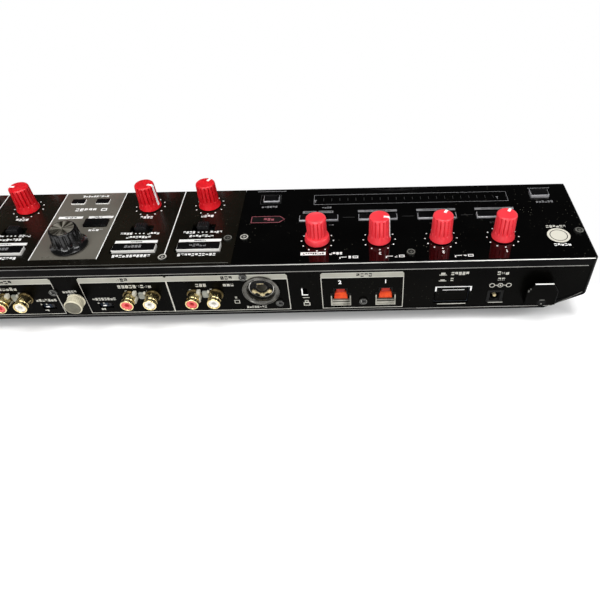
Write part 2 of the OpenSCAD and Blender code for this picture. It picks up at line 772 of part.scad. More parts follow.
foot_recess_d = 9;
foot_floor = 3;
module feet() {
    color("#202020") for (spot = foot_spots) translate(concat(spot, 0)) difference() {
        rotate_extrude() polygon([[0, 0], [foot_d / 2 - 2, 0], [foot_d / 2, 2], [foot_d / 2, foot_h], [0, foot_h]]);
        translate([0, 0, -cut]) cylinder(d = foot_recess_d, h = foot_h - foot_floor + cut);
        cylinder(d = case_screw_d + 2 * seat, h = foot_h + cut);
    }
}

// A pan-head screw pointing down from z = 0, its head above
module screw(d, head_d, head_h, l) {
    difference() {
        union() {
            cylinder(d = head_d, h = head_h);
            translate([0, 0, -l]) cylinder(d = d, h = l + head_h / 2);
        }
        for (turn = [0, 90]) rotate([0, 0, turn]) translate([0, 0, head_h * 0.4])
            centred_block(head_d * 0.6, head_d * 0.14, head_h);
    }
}

hook_screw_drop = 31;
panel_screws = [[mic_x[0] + 10, 9.5], [mic_x[0] - 10.9, 32.4], [mic_x[1] + 10, 9.5], [mic_x[1] - 10.9, 32.4],
                [hook_x - 0.8, hook_screw_drop], [(usb_x[0] + usb_x[1]) / 2, 32.3],
                [balanced_x[0] + 19.5, 33], [9.5, 19]];
panel_screw_l = 6;
module screws() {
    color("silver") {
        at_plate_screws() translate([0, 0, z_top]) screw(screw_d, screw_head_d, screw_head_h, screw_l - ledge_t / 2);
        at_board_posts() translate([0, 0, z_board]) screw(screw_d, screw_head_d - 0.6, screw_head_h, screw_l);
        for (spot = case_screw_spots) translate(concat(spot, case_screw_z))
            rotate([180, 0, 0])
                screw(case_screw_d, case_screw_head, 2, z_split - case_screw_z + case_screw_bite);
        at_flange_screws() rotate([180, 0, 0]) screw(screw_d, screw_head_d, screw_head_h, screw_l);
        for (spot = foot_spots) translate(concat(spot, foot_h - foot_floor))
            rotate([180, 0, 0]) screw(case_screw_d, case_screw_head, 2, foot_floor + wall + 1);
        for (spot = panel_screws) on_rear(spot[0], spot[1])
            translate([0, 0, spot[1] == hook_screw_drop ? hook_base : 0])
                screw(screw_d, screw_head_d - 0.3, screw_head_h, panel_screw_l);
    }
}

// ---------- rear panel and sockets ----------

module rear_panel() {
    room = plate_gap;
    x_panel = x_side - wall - room;
    slope_x = x_floor - wall;
    color("#0d0d0f") difference() {
        union() {
            translate([0, y_panel, 0]) rotate([90, 0, 0]) linear_extrude(panel_t)
                polygon([[-slope_x, z_floor + room / 2], [slope_x, z_floor + room / 2], [x_panel - inner_slant + wall, z_split],
                         [x_panel, z_split + room], [x_panel, z_top - lip_h - room], [-x_panel, z_top - lip_h - room],
                         [-x_panel, z_split + room], [-x_panel + inner_slant - wall, z_split]]);
            translate([-slope_x, y_panel - flange_d, z_floor + room / 2]) cube([2 * slope_x, flange_d, panel_t]);
        }
        for (spot = phono_spots) on_rear(spot[0], phono_drop)
            translate([0, 0, -panel_t - cut]) cylinder(d = phono_collar_d + 2 * seat, h = panel_t + 2 * cut);
        for (x = mic_x) on_rear(x, mic_drop)
            translate([0, 0, -panel_t - cut]) cylinder(d = mic_body_d + 2 * seat, h = panel_t + 2 * cut);
        for (x = balanced_x) on_rear(x, mic_drop)
            translate([0, 0, -panel_t - cut]) cylinder(d = balanced_d + 2 * seat, h = panel_t + 2 * cut);
        for (x = booth_x) on_rear(x, booth_drop)
            translate([0, 0, -panel_t - cut]) cylinder(d = jack_nut_d + 2 * seat, h = panel_t + 2 * cut);
        on_rear(ground_x, ground_drop)
            translate([0, 0, -panel_t - cut]) cylinder(d = ground_stud_d + 2 * free, h = panel_t + 2 * cut);
        for (x = usb_x) on_rear(x, usb_drop) translate([0, 0, -panel_t - cut]) usb_block(seat, panel_t + 2 * cut);
        panel_slot(power_x, power_drop, power_w, power_h);
        panel_slot(dc_x, dc_drop, dc_w + 2 * seat, dc_w + 2 * seat);
        panel_slot(lock_x, lock_drop, 3, 7);
        for (x = phono_switch_x)
            panel_slot(x, phono_switch_drop, phono_pocket[0], phono_pocket[1]);
        for (spot = panel_screws) on_rear(spot[0], spot[1])
            translate([0, 0, -panel_t - cut]) cylinder(d = screw_d + 4 * seat, h = panel_t + 2 * cut);
        at_flange_screws() cylinder(d = screw_d + 2 * seat, h = wall + panel_t + cut);
    }
}

// A rectangular slot through the rear panel
module panel_slot(x, drop, w, h) {
    translate([x - w / 2, y_behind - cut, z_top - drop - h / 2]) cube([w, panel_t + 2 * cut, h]);
}

phono_body = [11, 11, 12];
phono_bore_d = 3.4;
phono_shell = 0.8;
phono_collar = 1.2;
phono_collar_d = phono_d + 1.6;
module phono_sockets() {
    for (spot = phono_spots) {
        ring_d = phono_d - 2 * phono_shell;
        on_rear(spot[0], phono_drop) {
            color("gold") difference() {
                union() {
                    translate([0, 0, -panel_t]) cylinder(d = phono_collar_d, h = panel_t + phono_collar);
                    cylinder(d = phono_d, h = phono_out);
                }
                translate([0, 0, -panel_t - cut]) cylinder(d = ring_d, h = panel_t + phono_out + 2 * cut);
            }
            color(spot[1] == 0 ? "red" : "white") difference() {
                translate([0, 0, -panel_t]) cylinder(d = ring_d - 2 * slip, h = panel_t + phono_out - 0.6);
                translate([0, 0, -panel_t - cut]) cylinder(d = phono_bore_d, h = phono_out + panel_t + 2 * cut);
            }
        }
        color("#202022") difference() {
            behind_panel(spot[0], phono_drop)
                translate([-phono_body[0] / 2, -phono_body[1] / 2, 0]) cube(phono_body);
            on_rear(spot[0], phono_drop)
                translate([0, 0, -panel_t - 6]) cylinder(d = phono_bore_d, h = 8);
        }
    }
}

mic_body_d = 20;
mic_depth = 24;
mic_ring_t = 1.4;
balanced_d = 19;
balanced_depth = 12.5;
pin_d = 2.4;
contact_r = 5.2;
module mic_and_balanced_sockets() {
    // Combined microphone sockets: a jack bore between three contact holes
    for (x = mic_x) on_rear(x, mic_drop) color("#2a2a2c") difference() {
        union() {
            translate([0, 0, -mic_depth]) cylinder(d = mic_body_d, h = mic_depth);
            cylinder(d = mic_ring_d, h = mic_ring_t);
        }
        translate([0, 0, -3]) cylinder(d = mic_body_d - 3.6, h = 3 + mic_ring_t + cut);
        translate([0, 0, -mic_depth + 2]) cylinder(d = jack_d + seat, h = mic_depth);
        for (turn = [30, 150, 270]) rotate([0, 0, turn]) translate([contact_r + 0.6, 0, -14])
            cylinder(d = pin_d + 0.4, h = 14);
    }
    // Balanced outputs: a recessed cup with three pins
    for (x = balanced_x) on_rear(x, mic_drop) {
        color("#b8b8bc") difference() {
            union() {
                translate([0, 0, -balanced_depth]) cylinder(d = balanced_d, h = balanced_depth);
                cylinder(d = mic_ring_d, h = mic_ring_t);
            }
            translate([0, 0, -balanced_depth + 2]) cylinder(d = balanced_d - 2.4, h = balanced_depth + mic_ring_t);
        }
        color("gold") for (turn = [30, 150, 270]) rotate([0, 0, turn]) translate([contact_r, 0, -balanced_depth + 2])
            cylinder(d = pin_d, h = balanced_depth - 3);
    }
}

jack_nut_d = 11;
jack_body = [14, 12, 20];
small_nut_less = 3;
small_jack_body = [9, 9, 14];
small_jack_step = 24;
// One jack socket pointing along +Z, its nut in the hole of a wall of thickness t
module jack_socket(bore_d, nut_d, body, t) {
    difference() {
        union() {
            translate([0, 0, -t]) cylinder(d = nut_d, h = t + jack_lip);
            translate([-body[0] / 2, -body[1] / 2, -t - body[2]]) cube(body);
        }
        translate([0, 0, -t - body[2] + 2]) cylinder(d = bore_d, h = body[2] + t + jack_lip);
    }
}

module jack_sockets() {
    color("#2d2d30") {
        for (x = booth_x) on_rear(x, booth_drop) jack_socket(jack_d + seat, jack_nut_d, jack_body, panel_t);
        translate([phones_x, y_front, z_top - phones_drop]) rotate([90, 0, 0])
            jack_socket(jack_d + seat, jack_nut_d, jack_body, wall);
        translate([phones_x + small_jack_step, y_front, z_top - phones_drop]) rotate([90, 0, 0])
            jack_socket(small_jack_d, jack_nut_d - small_nut_less, small_jack_body, wall);
    }
}

usb_shell = 0.6;
usb_depth = 16;
usb_mouth_depth = 9;
usb_proud = 0.6;
usb_tongue = [8.4, 4.4];
usb_upper_tongue = [5.2, 2];
usb_upper_y = -7; // middle of the upper tongue, up from the middle of the wide part

dc_bore_d = 6.2;
dc_pin_d = 2;
// The outline of a data socket: a wide part with a narrower one above it, grown by a margin
module usb_block(margin, h) {
    w = usb_w / 2 + margin;
    top_w = usb_top_w / 2 + margin;
    low = usb_h / 2 + margin;
    step = -usb_h / 2 - margin;
    linear_extrude(h) polygon([[-w, low], [w, low], [w, step], [top_w, step], [top_w, step - usb_top_h],
                               [-top_w, step - usb_top_h], [-top_w, step], [-w, step]]);
}

module usb_and_dc_sockets() {
    for (x = usb_x) on_rear(x, usb_drop) {
        color("silver") difference() {
            translate([0, 0, -usb_depth]) usb_block(0, usb_depth + usb_proud);
            translate([0, 0, -usb_mouth_depth]) usb_block(-usb_shell, usb_mouth_depth + usb_proud + cut);
        }
        color("orangered") translate([0, 0, -usb_mouth_depth]) {
            centred_block(usb_tongue[0], usb_tongue[1], usb_mouth_depth - 1);
            translate([0, usb_upper_y, 0])
                centred_block(usb_upper_tongue[0], usb_upper_tongue[1], usb_mouth_depth - 1);
        }
    }
    on_rear(dc_x, dc_drop) {
        color("#161618") difference() {
            translate([-dc_w / 2, -dc_w / 2, -13]) cube([dc_w, dc_w, 13]);
            translate([0, 0, -9.5]) cylinder(d = dc_bore_d, h = 9.5 + cut);
        }
        color("gold") translate([0, 0, -9.5]) cylinder(d = dc_pin_d, h = 8.5);
    }
}

// The power button slides in a pocket behind the panel
power_wall = 1.2;
power_depth = 14;
power_recess = 1.2;
module power_switch_body() {
    translate([power_x, 0, z_top - power_drop]) difference() {
        translate([-power_w / 2 - power_wall, y_behind - power_depth, -power_h / 2 - power_wall])
            cube([power_w + 2 * power_wall, power_depth, power_h + 2 * power_wall]);
        translate([-power_w / 2, y_behind - power_depth + 2, -power_h / 2])
            cube([power_w, power_depth, power_h]);
    }
}

module power_button() {
    far = y_behind - power_depth + 2 + power_travel + free;
    color("#0c0c0e") translate([power_x, 0, z_top - power_drop])
        translate([-power_w / 2 + hole_gap, far, -power_h / 2 + hole_gap])
            cube([power_w - 2 * hole_gap, y_panel - power_recess - far, power_h - 2 * hole_gap]);
}

// Small slide switch behind the panel, with a pocket for its slider
phono_pocket = [9, 4.4, 3];
phono_slider = [4, 3.6];
phono_switch_travel = phono_pocket[0] - phono_slider[0] - 2 * free;
module phono_switch_body(x) {
    pocket = phono_pocket;
    behind_panel(x, phono_switch_drop) difference() {
        translate([-6, -3.6, 0]) cube([12, 7.2, 7]);
        translate([-pocket[0] / 2, -pocket[1] / 2, -cut]) cube([pocket[0], pocket[1], pocket[2] + cut]);
    }
}

module phono_switches() {
    color("#3a3a3d") for (x = phono_switch_x)
        behind_panel(x - phono_switch_travel / 2, phono_switch_drop) {
            translate([-phono_slider[0] / 2, -phono_slider[1] / 2, 0.4])
                cube([phono_slider[0], phono_slider[1], phono_pocket[2] - 0.4 - free]);
            translate([-0.8, -phono_slider[1] / 2, -0.6]) cube([1.6, phono_slider[1], 2]);
        }
}

// Cord hook: a block on the panel with a groove that a cord is wound through
hook_base = 1.2;
hook_groove = 4.5;
hook_lip = 2.2;
hook_stand = hook_groove + hook_lip;
hook_foot = 6;
hook_chamfer = [4.1, 6.6];
module hook_outline() {
    w = hook_w / 2;
    h = hook_h / 2;
    polygon([[-w, h], [w, h], [w, hook_chamfer[1] - h], [w - hook_chamfer[0], -h],
             [hook_chamfer[0] - w, -h], [-w, hook_chamfer[1] - h]]);
}

module cord_hook() {
    color("#121214") difference() {
        on_rear(hook_x, hook_drop) {
            translate([0, 0, hook_groove]) linear_extrude(hook_lip) hook_outline();
            translate([-hook_w / 2, hook_h / 2 - hook_foot, 0]) cube([hook_w, hook_foot, hook_stand]);
        }
        on_rear(hook_x - 0.8, hook_screw_drop) {
            translate([0, 0, hook_base]) cylinder(d = screw_head_d + 1, h = hook_stand + cut);
            translate([0, 0, -cut]) cylinder(d = screw_d + 2 * seat, h = hook_base + 2 * cut);
        }
    }
}

ground_stud_d = 4;
ground_nut_d = 11;
ground_gap = 3.2;
ground_nut_h = ground_out + panel_inset - ground_gap;
ground_knurls = 24;
module ground_terminal() {
    on_rear(ground_x, ground_drop) color("#c9c2ae") {
        difference() {
            union() {
                translate([0, 0, ground_gap]) cylinder(d = ground_nut_d, h = ground_nut_h);
                translate([0, 0, -8]) cylinder(d = ground_stud_d, h = 8 + ground_gap + 1);
            }
            for (i = [0:ground_knurls - 1]) rotate([0, 0, i * 360 / ground_knurls])
                translate([ground_nut_d / 2 + 0.2, 0, ground_gap + 1.6])
                    cylinder(d = 0.9, h = ground_nut_h - 3.2, $fn = 16);
        }
    }
}

// ---------- the nodes ----------

lower_case();
top_case();
rear_panel();
deck_plates();
mixer_plate();
boards();
control_bodies();
feet();
screws();
phono_sockets();
mic_and_balanced_sockets();
jack_sockets();
usb_and_dc_sockets();
cord_hook();
ground_terminal();
browse_knob();
knob(on_top(master_spot));  // master_knob
knob(on_top(phones_spot));  // phones_knob
jog(-1);  // jog_left
jog(1);  // jog_right
tempo_fader(-1);  // tempo_fader_left
tempo_fader(1);  // tempo_fader_right
crossfader();
power_button();
phono_switches();
mixer_buttons();
deck_buttons();
pads();
for (n = [1:3]) {
    knob(deck_spot(-1, [fx_x[n - 1], fx_row]), fx_turn[n - 1]);
    knob(deck_spot(1, [fx_x[n - 1], fx_row]), fx_turn[n - 1]);
}
beats_knob(deck_spot(-1, [fx_x[3], fx_row]));  // beats_knob_left
beats_knob(deck_spot(1, [fx_x[3], fx_row]));  // beats_knob_right
for (c = channels) {
    selector(c);
    knob(on_top([column_x[c], trim_row]), trim_turn[c]);
    knob(on_top([column_x[c], tone_rows[0]]));
    knob(on_top([column_x[c], tone_rows[1]]));
    knob(on_top([column_x[c], tone_rows[2]]));
    channel_fader(c);
}
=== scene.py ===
"""Dresses the DJ desk: knobs, buttons, jog wheels and sockets as worked-out surfaces, printed marks, painted
highlights, finishes, plus the camera, the lamps and a pale floor. Lengths are in metres; mm(...) turns millimetres into
metres."""
import math

import bpy
import numpy as np
from mathutils import Matrix, Vector


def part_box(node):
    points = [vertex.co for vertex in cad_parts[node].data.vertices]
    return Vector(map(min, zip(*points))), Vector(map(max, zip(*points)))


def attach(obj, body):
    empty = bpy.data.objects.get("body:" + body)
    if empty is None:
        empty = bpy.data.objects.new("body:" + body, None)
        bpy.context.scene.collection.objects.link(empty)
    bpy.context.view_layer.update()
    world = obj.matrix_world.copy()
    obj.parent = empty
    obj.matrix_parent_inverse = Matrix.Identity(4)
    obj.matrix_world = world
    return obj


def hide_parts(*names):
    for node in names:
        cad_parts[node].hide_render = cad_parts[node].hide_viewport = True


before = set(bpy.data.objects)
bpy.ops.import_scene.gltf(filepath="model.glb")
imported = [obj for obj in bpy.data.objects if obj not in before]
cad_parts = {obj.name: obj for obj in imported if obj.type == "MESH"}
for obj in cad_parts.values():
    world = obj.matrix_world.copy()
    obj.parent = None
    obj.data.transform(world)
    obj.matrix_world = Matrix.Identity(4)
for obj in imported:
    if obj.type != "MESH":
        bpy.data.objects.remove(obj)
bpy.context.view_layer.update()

PI = math.pi
FULL = 2 * PI


def mm(*values):
    """Millimetres as metres: one number, or an array of them."""
    return values[0] / 1000 if len(values) == 1 else np.array(values) / 1000


# ---------- places taken from the frame ----------

def middle(node):
    """The middle of a node's box, as an array."""
    low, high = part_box(node)
    return (np.array(low) + np.array(high)) / 2


case_low, case_high = (np.array(corner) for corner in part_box("top_case"))
TOP = case_high[2]
REAR = case_high[1]
FRONT = case_low[1]
SIDE = case_high[0]
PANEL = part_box("rear_panel")[1][1]
DECK_X = (SIDE + mm(106)) / 2
DECKS = {"left": -DECK_X, "right": DECK_X}
COLUMNS = {c: middle(f"trim_knob_{c}")[0] for c in (1, 2, 3, 4)}
FX_X = [middle(f"fx_knob_left_{n}")[0] + DECK_X for n in (1, 2, 3)]
FX_X.append(middle("beats_knob_left")[0] + DECK_X)

# ---------- surfaces ----------

def grid_faces(rows, columns, close_rows=False):
    """Quads between neighbouring points of a grid whose columns run round; close_rows joins its last row to its
    first."""
    row = np.arange(rows if close_rows else rows - 1)[:, None]
    column = np.arange(columns)[None, :]
    above = (row + 1) % rows
    beside = (column + 1) % columns
    quads = np.stack([row * columns + column, row * columns + beside,
                      above * columns + beside, above * columns + column], axis=-1)
    return quads.reshape(-1, 4)


def closed(rings):
    """A solid through rings of points (rows, columns, 3): quads between rings, a fan to the middle of each end ring."""
    rows, columns, _ = rings.shape
    points = np.concatenate([rings.reshape(-1, 3), rings[[0, -1]].mean(axis=1)])
    here = np.arange(columns)
    beside = (here + 1) % columns
    last = (rows - 1) * columns
    foot = np.stack([np.full(columns, rows * columns), beside, here], axis=-1)
    head = np.stack([np.full(columns, rows * columns + 1), here + last, beside + last], axis=-1)
    return points, grid_faces(rows, columns).tolist() + foot.tolist() + head.tolist()


def hollow(rings):
    """A ring-shaped solid: the rings' last row joins the first, as on a pipe's wall."""
    rows, columns, _ = rings.shape
    return rings.reshape(-1, 3), grid_faces(rows, columns, close_rows=True).tolist()


def turned(profile, columns=48, groove=None):
    """Rings of a turned shape: radius and height follow the profile, x = r cos a and y = r sin a, where r is the
    profile's radius less groove(a, z)."""
    radius, height = np.array(profile, float).T
    angle = np.linspace(0, FULL, columns, endpoint=False)
    reach = radius[:, None] * np.ones(columns)
    if groove is not None:
        reach = np.maximum(reach - groove(angle[None, :], height[:, None]), 0)
    return np.stack([reach * np.cos(angle), reach * np.sin(angle), height[:, None] * np.ones(columns)], axis=-1)


def rounded(profile, radius=0.3, steps=4):
    """The profile with its inner corners turned into short curves: each corner becomes a quadratic arc between
    points set back from it by radius, or by half the shorter side."""
    points = np.array(profile, float)
    out = [points[0]]
    for before, corner, after in zip(points[:-2], points[1:-1], points[2:]):
        back, on = before - corner, after - corner
        reach = min(radius, np.linalg.norm(back) / 2, np.linalg.norm(on) / 2)
        start = corner + back / np.linalg.norm(back) * reach
        end = corner + on / np.linalg.norm(on) * reach
        t = np.linspace(0, 1, steps)[:, None]
        out.extend((1 - t) ** 2 * start + 2 * t * (1 - t) * corner + t ** 2 * end)
    out.append(points[-1])
    return np.array(out)


def rod(profile, columns=48, groove=None):
    """A turned solid, closed at both ends."""
    return closed(turned(profile, columns, groove))


def pipe(profile, columns):
    """A turned wall round a bore, from a profile that starts on its outer side."""
    return hollow(turned(profile[::-1], columns))


def stacked(levels):
    """Rings from (flat outline, height) pairs."""
    return np.array([np.column_stack([flat, np.full(len(flat), z)]) for flat, z in levels])


def outline(w, d, corner, steps=5):
    """Points round a rectangle with quarter-circle corners, anticlockwise."""
    angle = np.arange(4)[:, None] * PI / 2 + np.linspace(0, PI / 2, steps)[None, :]
    side = np.array([[1, 1], [-1, 1], [-1, -1], [1, -1]])
    x = side[:, :1] * (w / 2 - corner) + corner * np.cos(angle)
    y = side[:, 1:] * (d / 2 - corner) + corner * np.sin(angle)
    return np.stack([x.ravel(), y.ravel()], axis=-1)


def slab_rings(w, d, rows, corner):
    """Rings of a block: for each (inset, height) row, the rounded outline drawn in by the inset."""
    return stacked([(outline(w - 2 * inset, d - 2 * inset, max(corner - inset, corner * 0.15)), height)
                    for inset, height in rows])


def block(w, d, low, high, corner=0.6, edge=0.4, dish=0.0):
    """A block with rounded corners and a rolled top edge: the edge follows a quarter circle; dish sinks the top."""
    turn = np.linspace(0, PI / 2, 5)
    rows = [(edge * 0.4, low), (0, low + edge * 0.4)]
    rows += [(edge * (1 - math.cos(t)), high - edge * (1 - math.sin(t))) for t in turn]
    if dish:
        inner = min(w, d) / 2
        rows += [(edge + (inner - edge) * k, high - dish * (1 - (1 - k) ** 2)) for k in (0.15, 0.4, 0.7)]
    return closed(slab_rings(w, d, rows, corner))


def boxes(spots):
    """Many plain bars at once: each spot is (x0, x1, y0, y1, z0, z1)."""
    spots = np.array(spots, float).reshape(-1, 6)
    pick = np.array([[0, 2, 4], [1, 2, 4], [1, 3, 4], [0, 3, 4], [0, 2, 5], [1, 2, 5], [1, 3, 5], [0, 3, 5]])
    points = spots[:, pick].reshape(-1, 3)
    sides = np.array([[0, 3, 2, 1], [4, 5, 6, 7], [0, 1, 5, 4], [1, 2, 6, 5], [2, 3, 7, 6], [3, 0, 4, 7]])
    faces = (np.arange(len(spots))[:, None, None] * 8 + sides).reshape(-1, 4)
    return points, faces.tolist()


def shifted(surface, across, up):
    """The surface moved within its own millimetres."""
    points, faces = surface
    return points + np.array([across, up, 0]), faces


def moved(surface, place):
    """The surface, in millimetres, set at a place in metres."""
    points, faces = surface
    return points / 1000 + np.array(place), faces


def spun(surface, degrees):
    """The surface turned about +Z through its own origin."""
    points, faces = surface
    c, s = math.cos(math.radians(degrees)), math.sin(math.radians(degrees))
    return points @ np.array([[c, s, 0], [-s, c, 0], [0, 0, 1]]), faces


def facing_rear(surface):
    """The surface laid over so that its +Z points to the rear: (x, y, z) becomes (x, z, -y)."""
    points, faces = surface
    return np.stack([points[:, 0], points[:, 2], -points[:, 1]], axis=-1), faces


def facing_front(surface):
    """The surface laid over so that its +Z points to the front: (x, y, z) becomes (x, -z, y)."""
    points, faces = surface
    return np.stack([points[:, 0], -points[:, 2], points[:, 1]], axis=-1), faces


def on_rear(surface, x, drop):
    """A surface in millimetres, drawn along +Z, set on the rear panel at x and a drop below the top."""
    return moved(facing_rear(surface), (mm(x), PANEL, TOP - mm(drop)))


def set_at(place, *pairs):
    """(surface, finish) pairs, each moved to a place."""
    return [(moved(surface, place), material) for surface, material in pairs]


def set_rear(x, drop, *pairs):
    """(surface, finish) pairs, each set on the rear panel."""
    return [(on_rear(surface, x, drop), material) for surface, material in pairs]


# ---------- finishes ----------

def feed(made, inputs):
    """Gives each input of a shader node a constant, or links another node's output to it."""
    for key, value in inputs.items():
        if isinstance(value, bpy.types.NodeSocket):
            made.id_data.links.new(value, made.inputs[key])
        else:
            made.inputs[key].default_value = value


def wire(tree, kind, inputs=None, out=0, **settings):
    """Adds a shader node with its settings and inputs, and returns one of its outputs."""
    made = tree.nodes.new("ShaderNode" + kind)
    for name, value in settings.items():
        setattr(made, name, value)
    feed(made, inputs or {})
    return made.outputs[out]


def calc(tree, operation, first, second):
    """The outcome of a sum on two values."""
    return wire(tree, "Math", {0: first, 1: second}, operation=operation)


def ramp(tree, value, start, end, low=0, high=1, **settings):
    """The value from start to end, spread from low to high and held there beyond both."""
    return wire(tree, "MapRange", {"Value": value, "From Min": start, "From Max": end, "To Min": low, "To Max": high},
                **settings)


def blend(tree, amount, first, second):
    """A colour between two colours."""
    return wire(tree, "Mix", {0: amount, 6: first, 7: second}, 2, data_type="RGBA")


def axes(tree, vector):
    """The three parts of a vector."""
    return wire(tree, "SeparateXYZ", {0: vector}).node.outputs


def parts_of(material):
    """A material's node tree, its shader and its place on the object."""
    tree = material.node_tree
    return tree, tree.nodes["Principled BSDF"], wire(tree, "TexCoord", out="Object")


def finish(name, colour, other=None, mix_scale=40.0, rough=(0.4, 0.5), rough_scale=60.0, metal=0.0,
           grain=0.0, grain_scale=900.0, shine=0.5, dust=0.0, glow=0.0):
    """A surface finish: two colours mixed by soft noise, uneven roughness, fine grain as bump, and dust specks; glow
    adds a painted glow in the first colour.
    """
    material = bpy.data.materials.new(name)
    material.use_nodes = True
    tree, shader, place = parts_of(material)

    def noise(scale, detail):
        return wire(tree, "TexNoise", {"Vector": place, "Scale": scale, "Detail": detail})

    other = other or tuple(min(1.0, c * 1.35 + 0.002) for c in colour)
    painted = blend(tree, ramp(tree, noise(mix_scale, 5), 0.35, 0.65), (*colour, 1), (*other, 1))
    roughness = ramp(tree, noise(rough_scale, 4), 0.3, 0.7, *rough)
    if dust:
        specks = wire(tree, "TexVoronoi", {"Vector": place, "Scale": 380})
        amount = calc(tree, "MULTIPLY", ramp(tree, specks, 0.07, 0.14, 1, 0),
                      ramp(tree, noise(22, 3), 0.5, 0.66, 0, dust))
        painted = blend(tree, amount, painted, (0.3, 0.29, 0.22, 1))
        roughness = calc(tree, "MAXIMUM", roughness, amount)
    feed(shader, {"Base Color": painted, "Roughness": roughness, "Metallic": metal, "Specular IOR Level": shine})
    if grain:
        feed(shader, {"Normal": wire(tree, "Bump", {"Strength": grain, "Distance": 0.0002,
                                                    "Height": noise(grain_scale, 2)})})
    if glow:
        feed(shader, {"Emission Color": (*colour, 1), "Emission Strength": glow})
    return material


def base_colour(shader):
    """What feeds the shader's colour so far."""
    return shader.inputs["Base Color"].links[0].from_socket


def banded(material, tests, colour, glint_span):
    """Paints a highlight colour where the object's own coordinates pass every test (axis, low, high), thinned by soft
    noise, and growing from a sixth of itself to the whole between the two X of its last argument, as a painted
    highlight along a lit edge."""
    tree, shader, place = parts_of(material)
    along = axes(tree, place)
    noise = wire(tree, "TexNoise", {"Vector": place, "Scale": 45})
    amount = calc(tree, "MULTIPLY", ramp(tree, noise, 0.3, 0.5, 0.45), ramp(tree, along[0], *glint_span, 0.16))
    for axis, low, high in tests:
        near = wire(tree, "Math", {0: along[axis], 1: (low + high) / 2, 2: (high - low) / 2}, operation="COMPARE")
        amount = calc(tree, "MULTIPLY", amount, near)
    feed(shader, {"Base Color": blend(tree, amount, base_colour(shader), (*colour, 1))})
    return material


def shaded(material, start, end, low):
    """Painted shade: darkens the finish from full at y = start to the share low at y = end."""
    tree, shader, place = parts_of(material)
    share = ramp(tree, axes(tree, place)[1], start, end, 1, low)
    feed(shader, {"Base Color": wire(tree, "VectorMath", {0: base_colour(shader), "Scale": share}, operation="SCALE")})
    return material


def spun_disc(centre):
    """Spun metal drawn as light and dark streaks that run out from a centre: its brushing, with its radial sheen
    painted in as colour. The noise is read at the unit vector towards the point, so it changes with the angle alone."""
    material = finish("spun_metal", (0.5, 0.47, 0.4), rough=(0.2, 0.3), metal=0.55)
    tree, shader, place = parts_of(material)
    away = wire(tree, "VectorMath", {0: place, 1: centre}, operation="SUBTRACT")
    unit = wire(tree, "VectorMath", {0: away}, operation="NORMALIZE")
    streaks = wire(tree, "TexNoise", {"Vector": unit, "Scale": 1.9, "Detail": 6})
    feed(shader, {"Base Color": blend(tree, ramp(tree, streaks, 0.4, 0.66), (0.03, 0.026, 0.018, 1),
                                      (0.46, 0.43, 0.36, 1))})
    return material


PLASTIC = finish("case_plastic", (0.002, 0.002, 0.0021), rough=(0.34, 0.5), grain=0.2, grain_scale=1400, shine=0.03)
# Painted highlight: a pale band along the top case's rear top edge, growing stronger towards -X
UPPER = banded(finish("upper_case_plastic", (0.0014, 0.0014, 0.0014), rough=(0.3, 0.42), grain=0.15, grain_scale=1400,
                      shine=0.03),
               ((1, REAR - mm(0.6), REAR + mm(1)), (2, TOP - mm(0.55), TOP + mm(1))), (0.92, 0.91, 0.87),
               (mm(-60), mm(-250)))
GLOSS = finish("deck_gloss", (0.0003, 0.0003, 0.0003), (0.0008, 0.0008, 0.0008), rough=(0.05, 0.11), rough_scale=18,
               shine=0.36, dust=0.35)
# Painted sheen: the lighter second colour, in broad patches, stands in for the satin plate's reflections
SATIN = finish("mixer_satin", (0.002, 0.0018, 0.0012), (0.0085, 0.0072, 0.0045), 14, (0.18, 0.28), grain=0.12,
               grain_scale=2200, shine=0.26, dust=0.2)
# Painted shade: the library plate darkens towards the front
LIBRARY = shaded(finish("library_grey", (0.095, 0.089, 0.073), (0.136, 0.127, 0.106), 13, (0.26, 0.36), grain=0.3,
                        grain_scale=1500, dust=0.15), REAR - mm(20), REAR - mm(75), 0.85)
PRINTED = finish("panel_black", (0.0005, 0.0005, 0.0004), (0.0017, 0.0016, 0.0012), 22, (0.26, 0.36), grain=0.15,
                 grain_scale=1800, shine=0.02, dust=0.08)
# Finishes for painted highlights: pale lines along lit edges, rings on screw heads and small glints
EDGE_GLINT = finish("edge_glint", (0.36, 0.355, 0.33), (0.2, 0.195, 0.18), 34, (0.3, 0.45))
DIM_GLINT = finish("dim_glint", (0.2, 0.2, 0.18), (0.07, 0.07, 0.06), 300, (0.25, 0.4))
FAINT_GLINT = finish("faint_glint", (0.2, 0.2, 0.185), (0.08, 0.08, 0.073), 34, (0.3, 0.45))
# The white and warm inks serve printing and also painted highlights on edges of the rear panel's recesses and the hook
WHITE_INK_AND_GLINT = finish("white_ink_and_glint", (0.9, 0.9, 0.88), (0.8, 0.8, 0.78), 90, (0.4, 0.6))
INK_GREY = finish("grey_ink", (0.22, 0.22, 0.225), (0.16, 0.16, 0.165), 90, (0.4, 0.6))
INK_DIM = finish("dim_ink", (0.03, 0.03, 0.03), (0.018, 0.018, 0.018), 90, (0.3, 0.5))
HEADER_INK = finish("header_ink", (0.36, 0.355, 0.3), (0.3, 0.295, 0.25), 60, (0.4, 0.6))
WARM_INK_AND_GLINT = finish("warm_ink_and_glint", (0.56, 0.55, 0.49), (0.46, 0.45, 0.4), 60, (0.4, 0.6))
INK_CREAM = finish("cream_ink", (0.66, 0.64, 0.55), (0.6, 0.58, 0.49), 60, (0.4, 0.6))
INK_PINK = finish("pink_ink", (0.36, 0.1, 0.12), (0.26, 0.06, 0.08), 60, (0.4, 0.6))
INK_DARK = finish("dark_ink", (0.004, 0.004, 0.004), rough=(0.4, 0.6), shine=0.05)
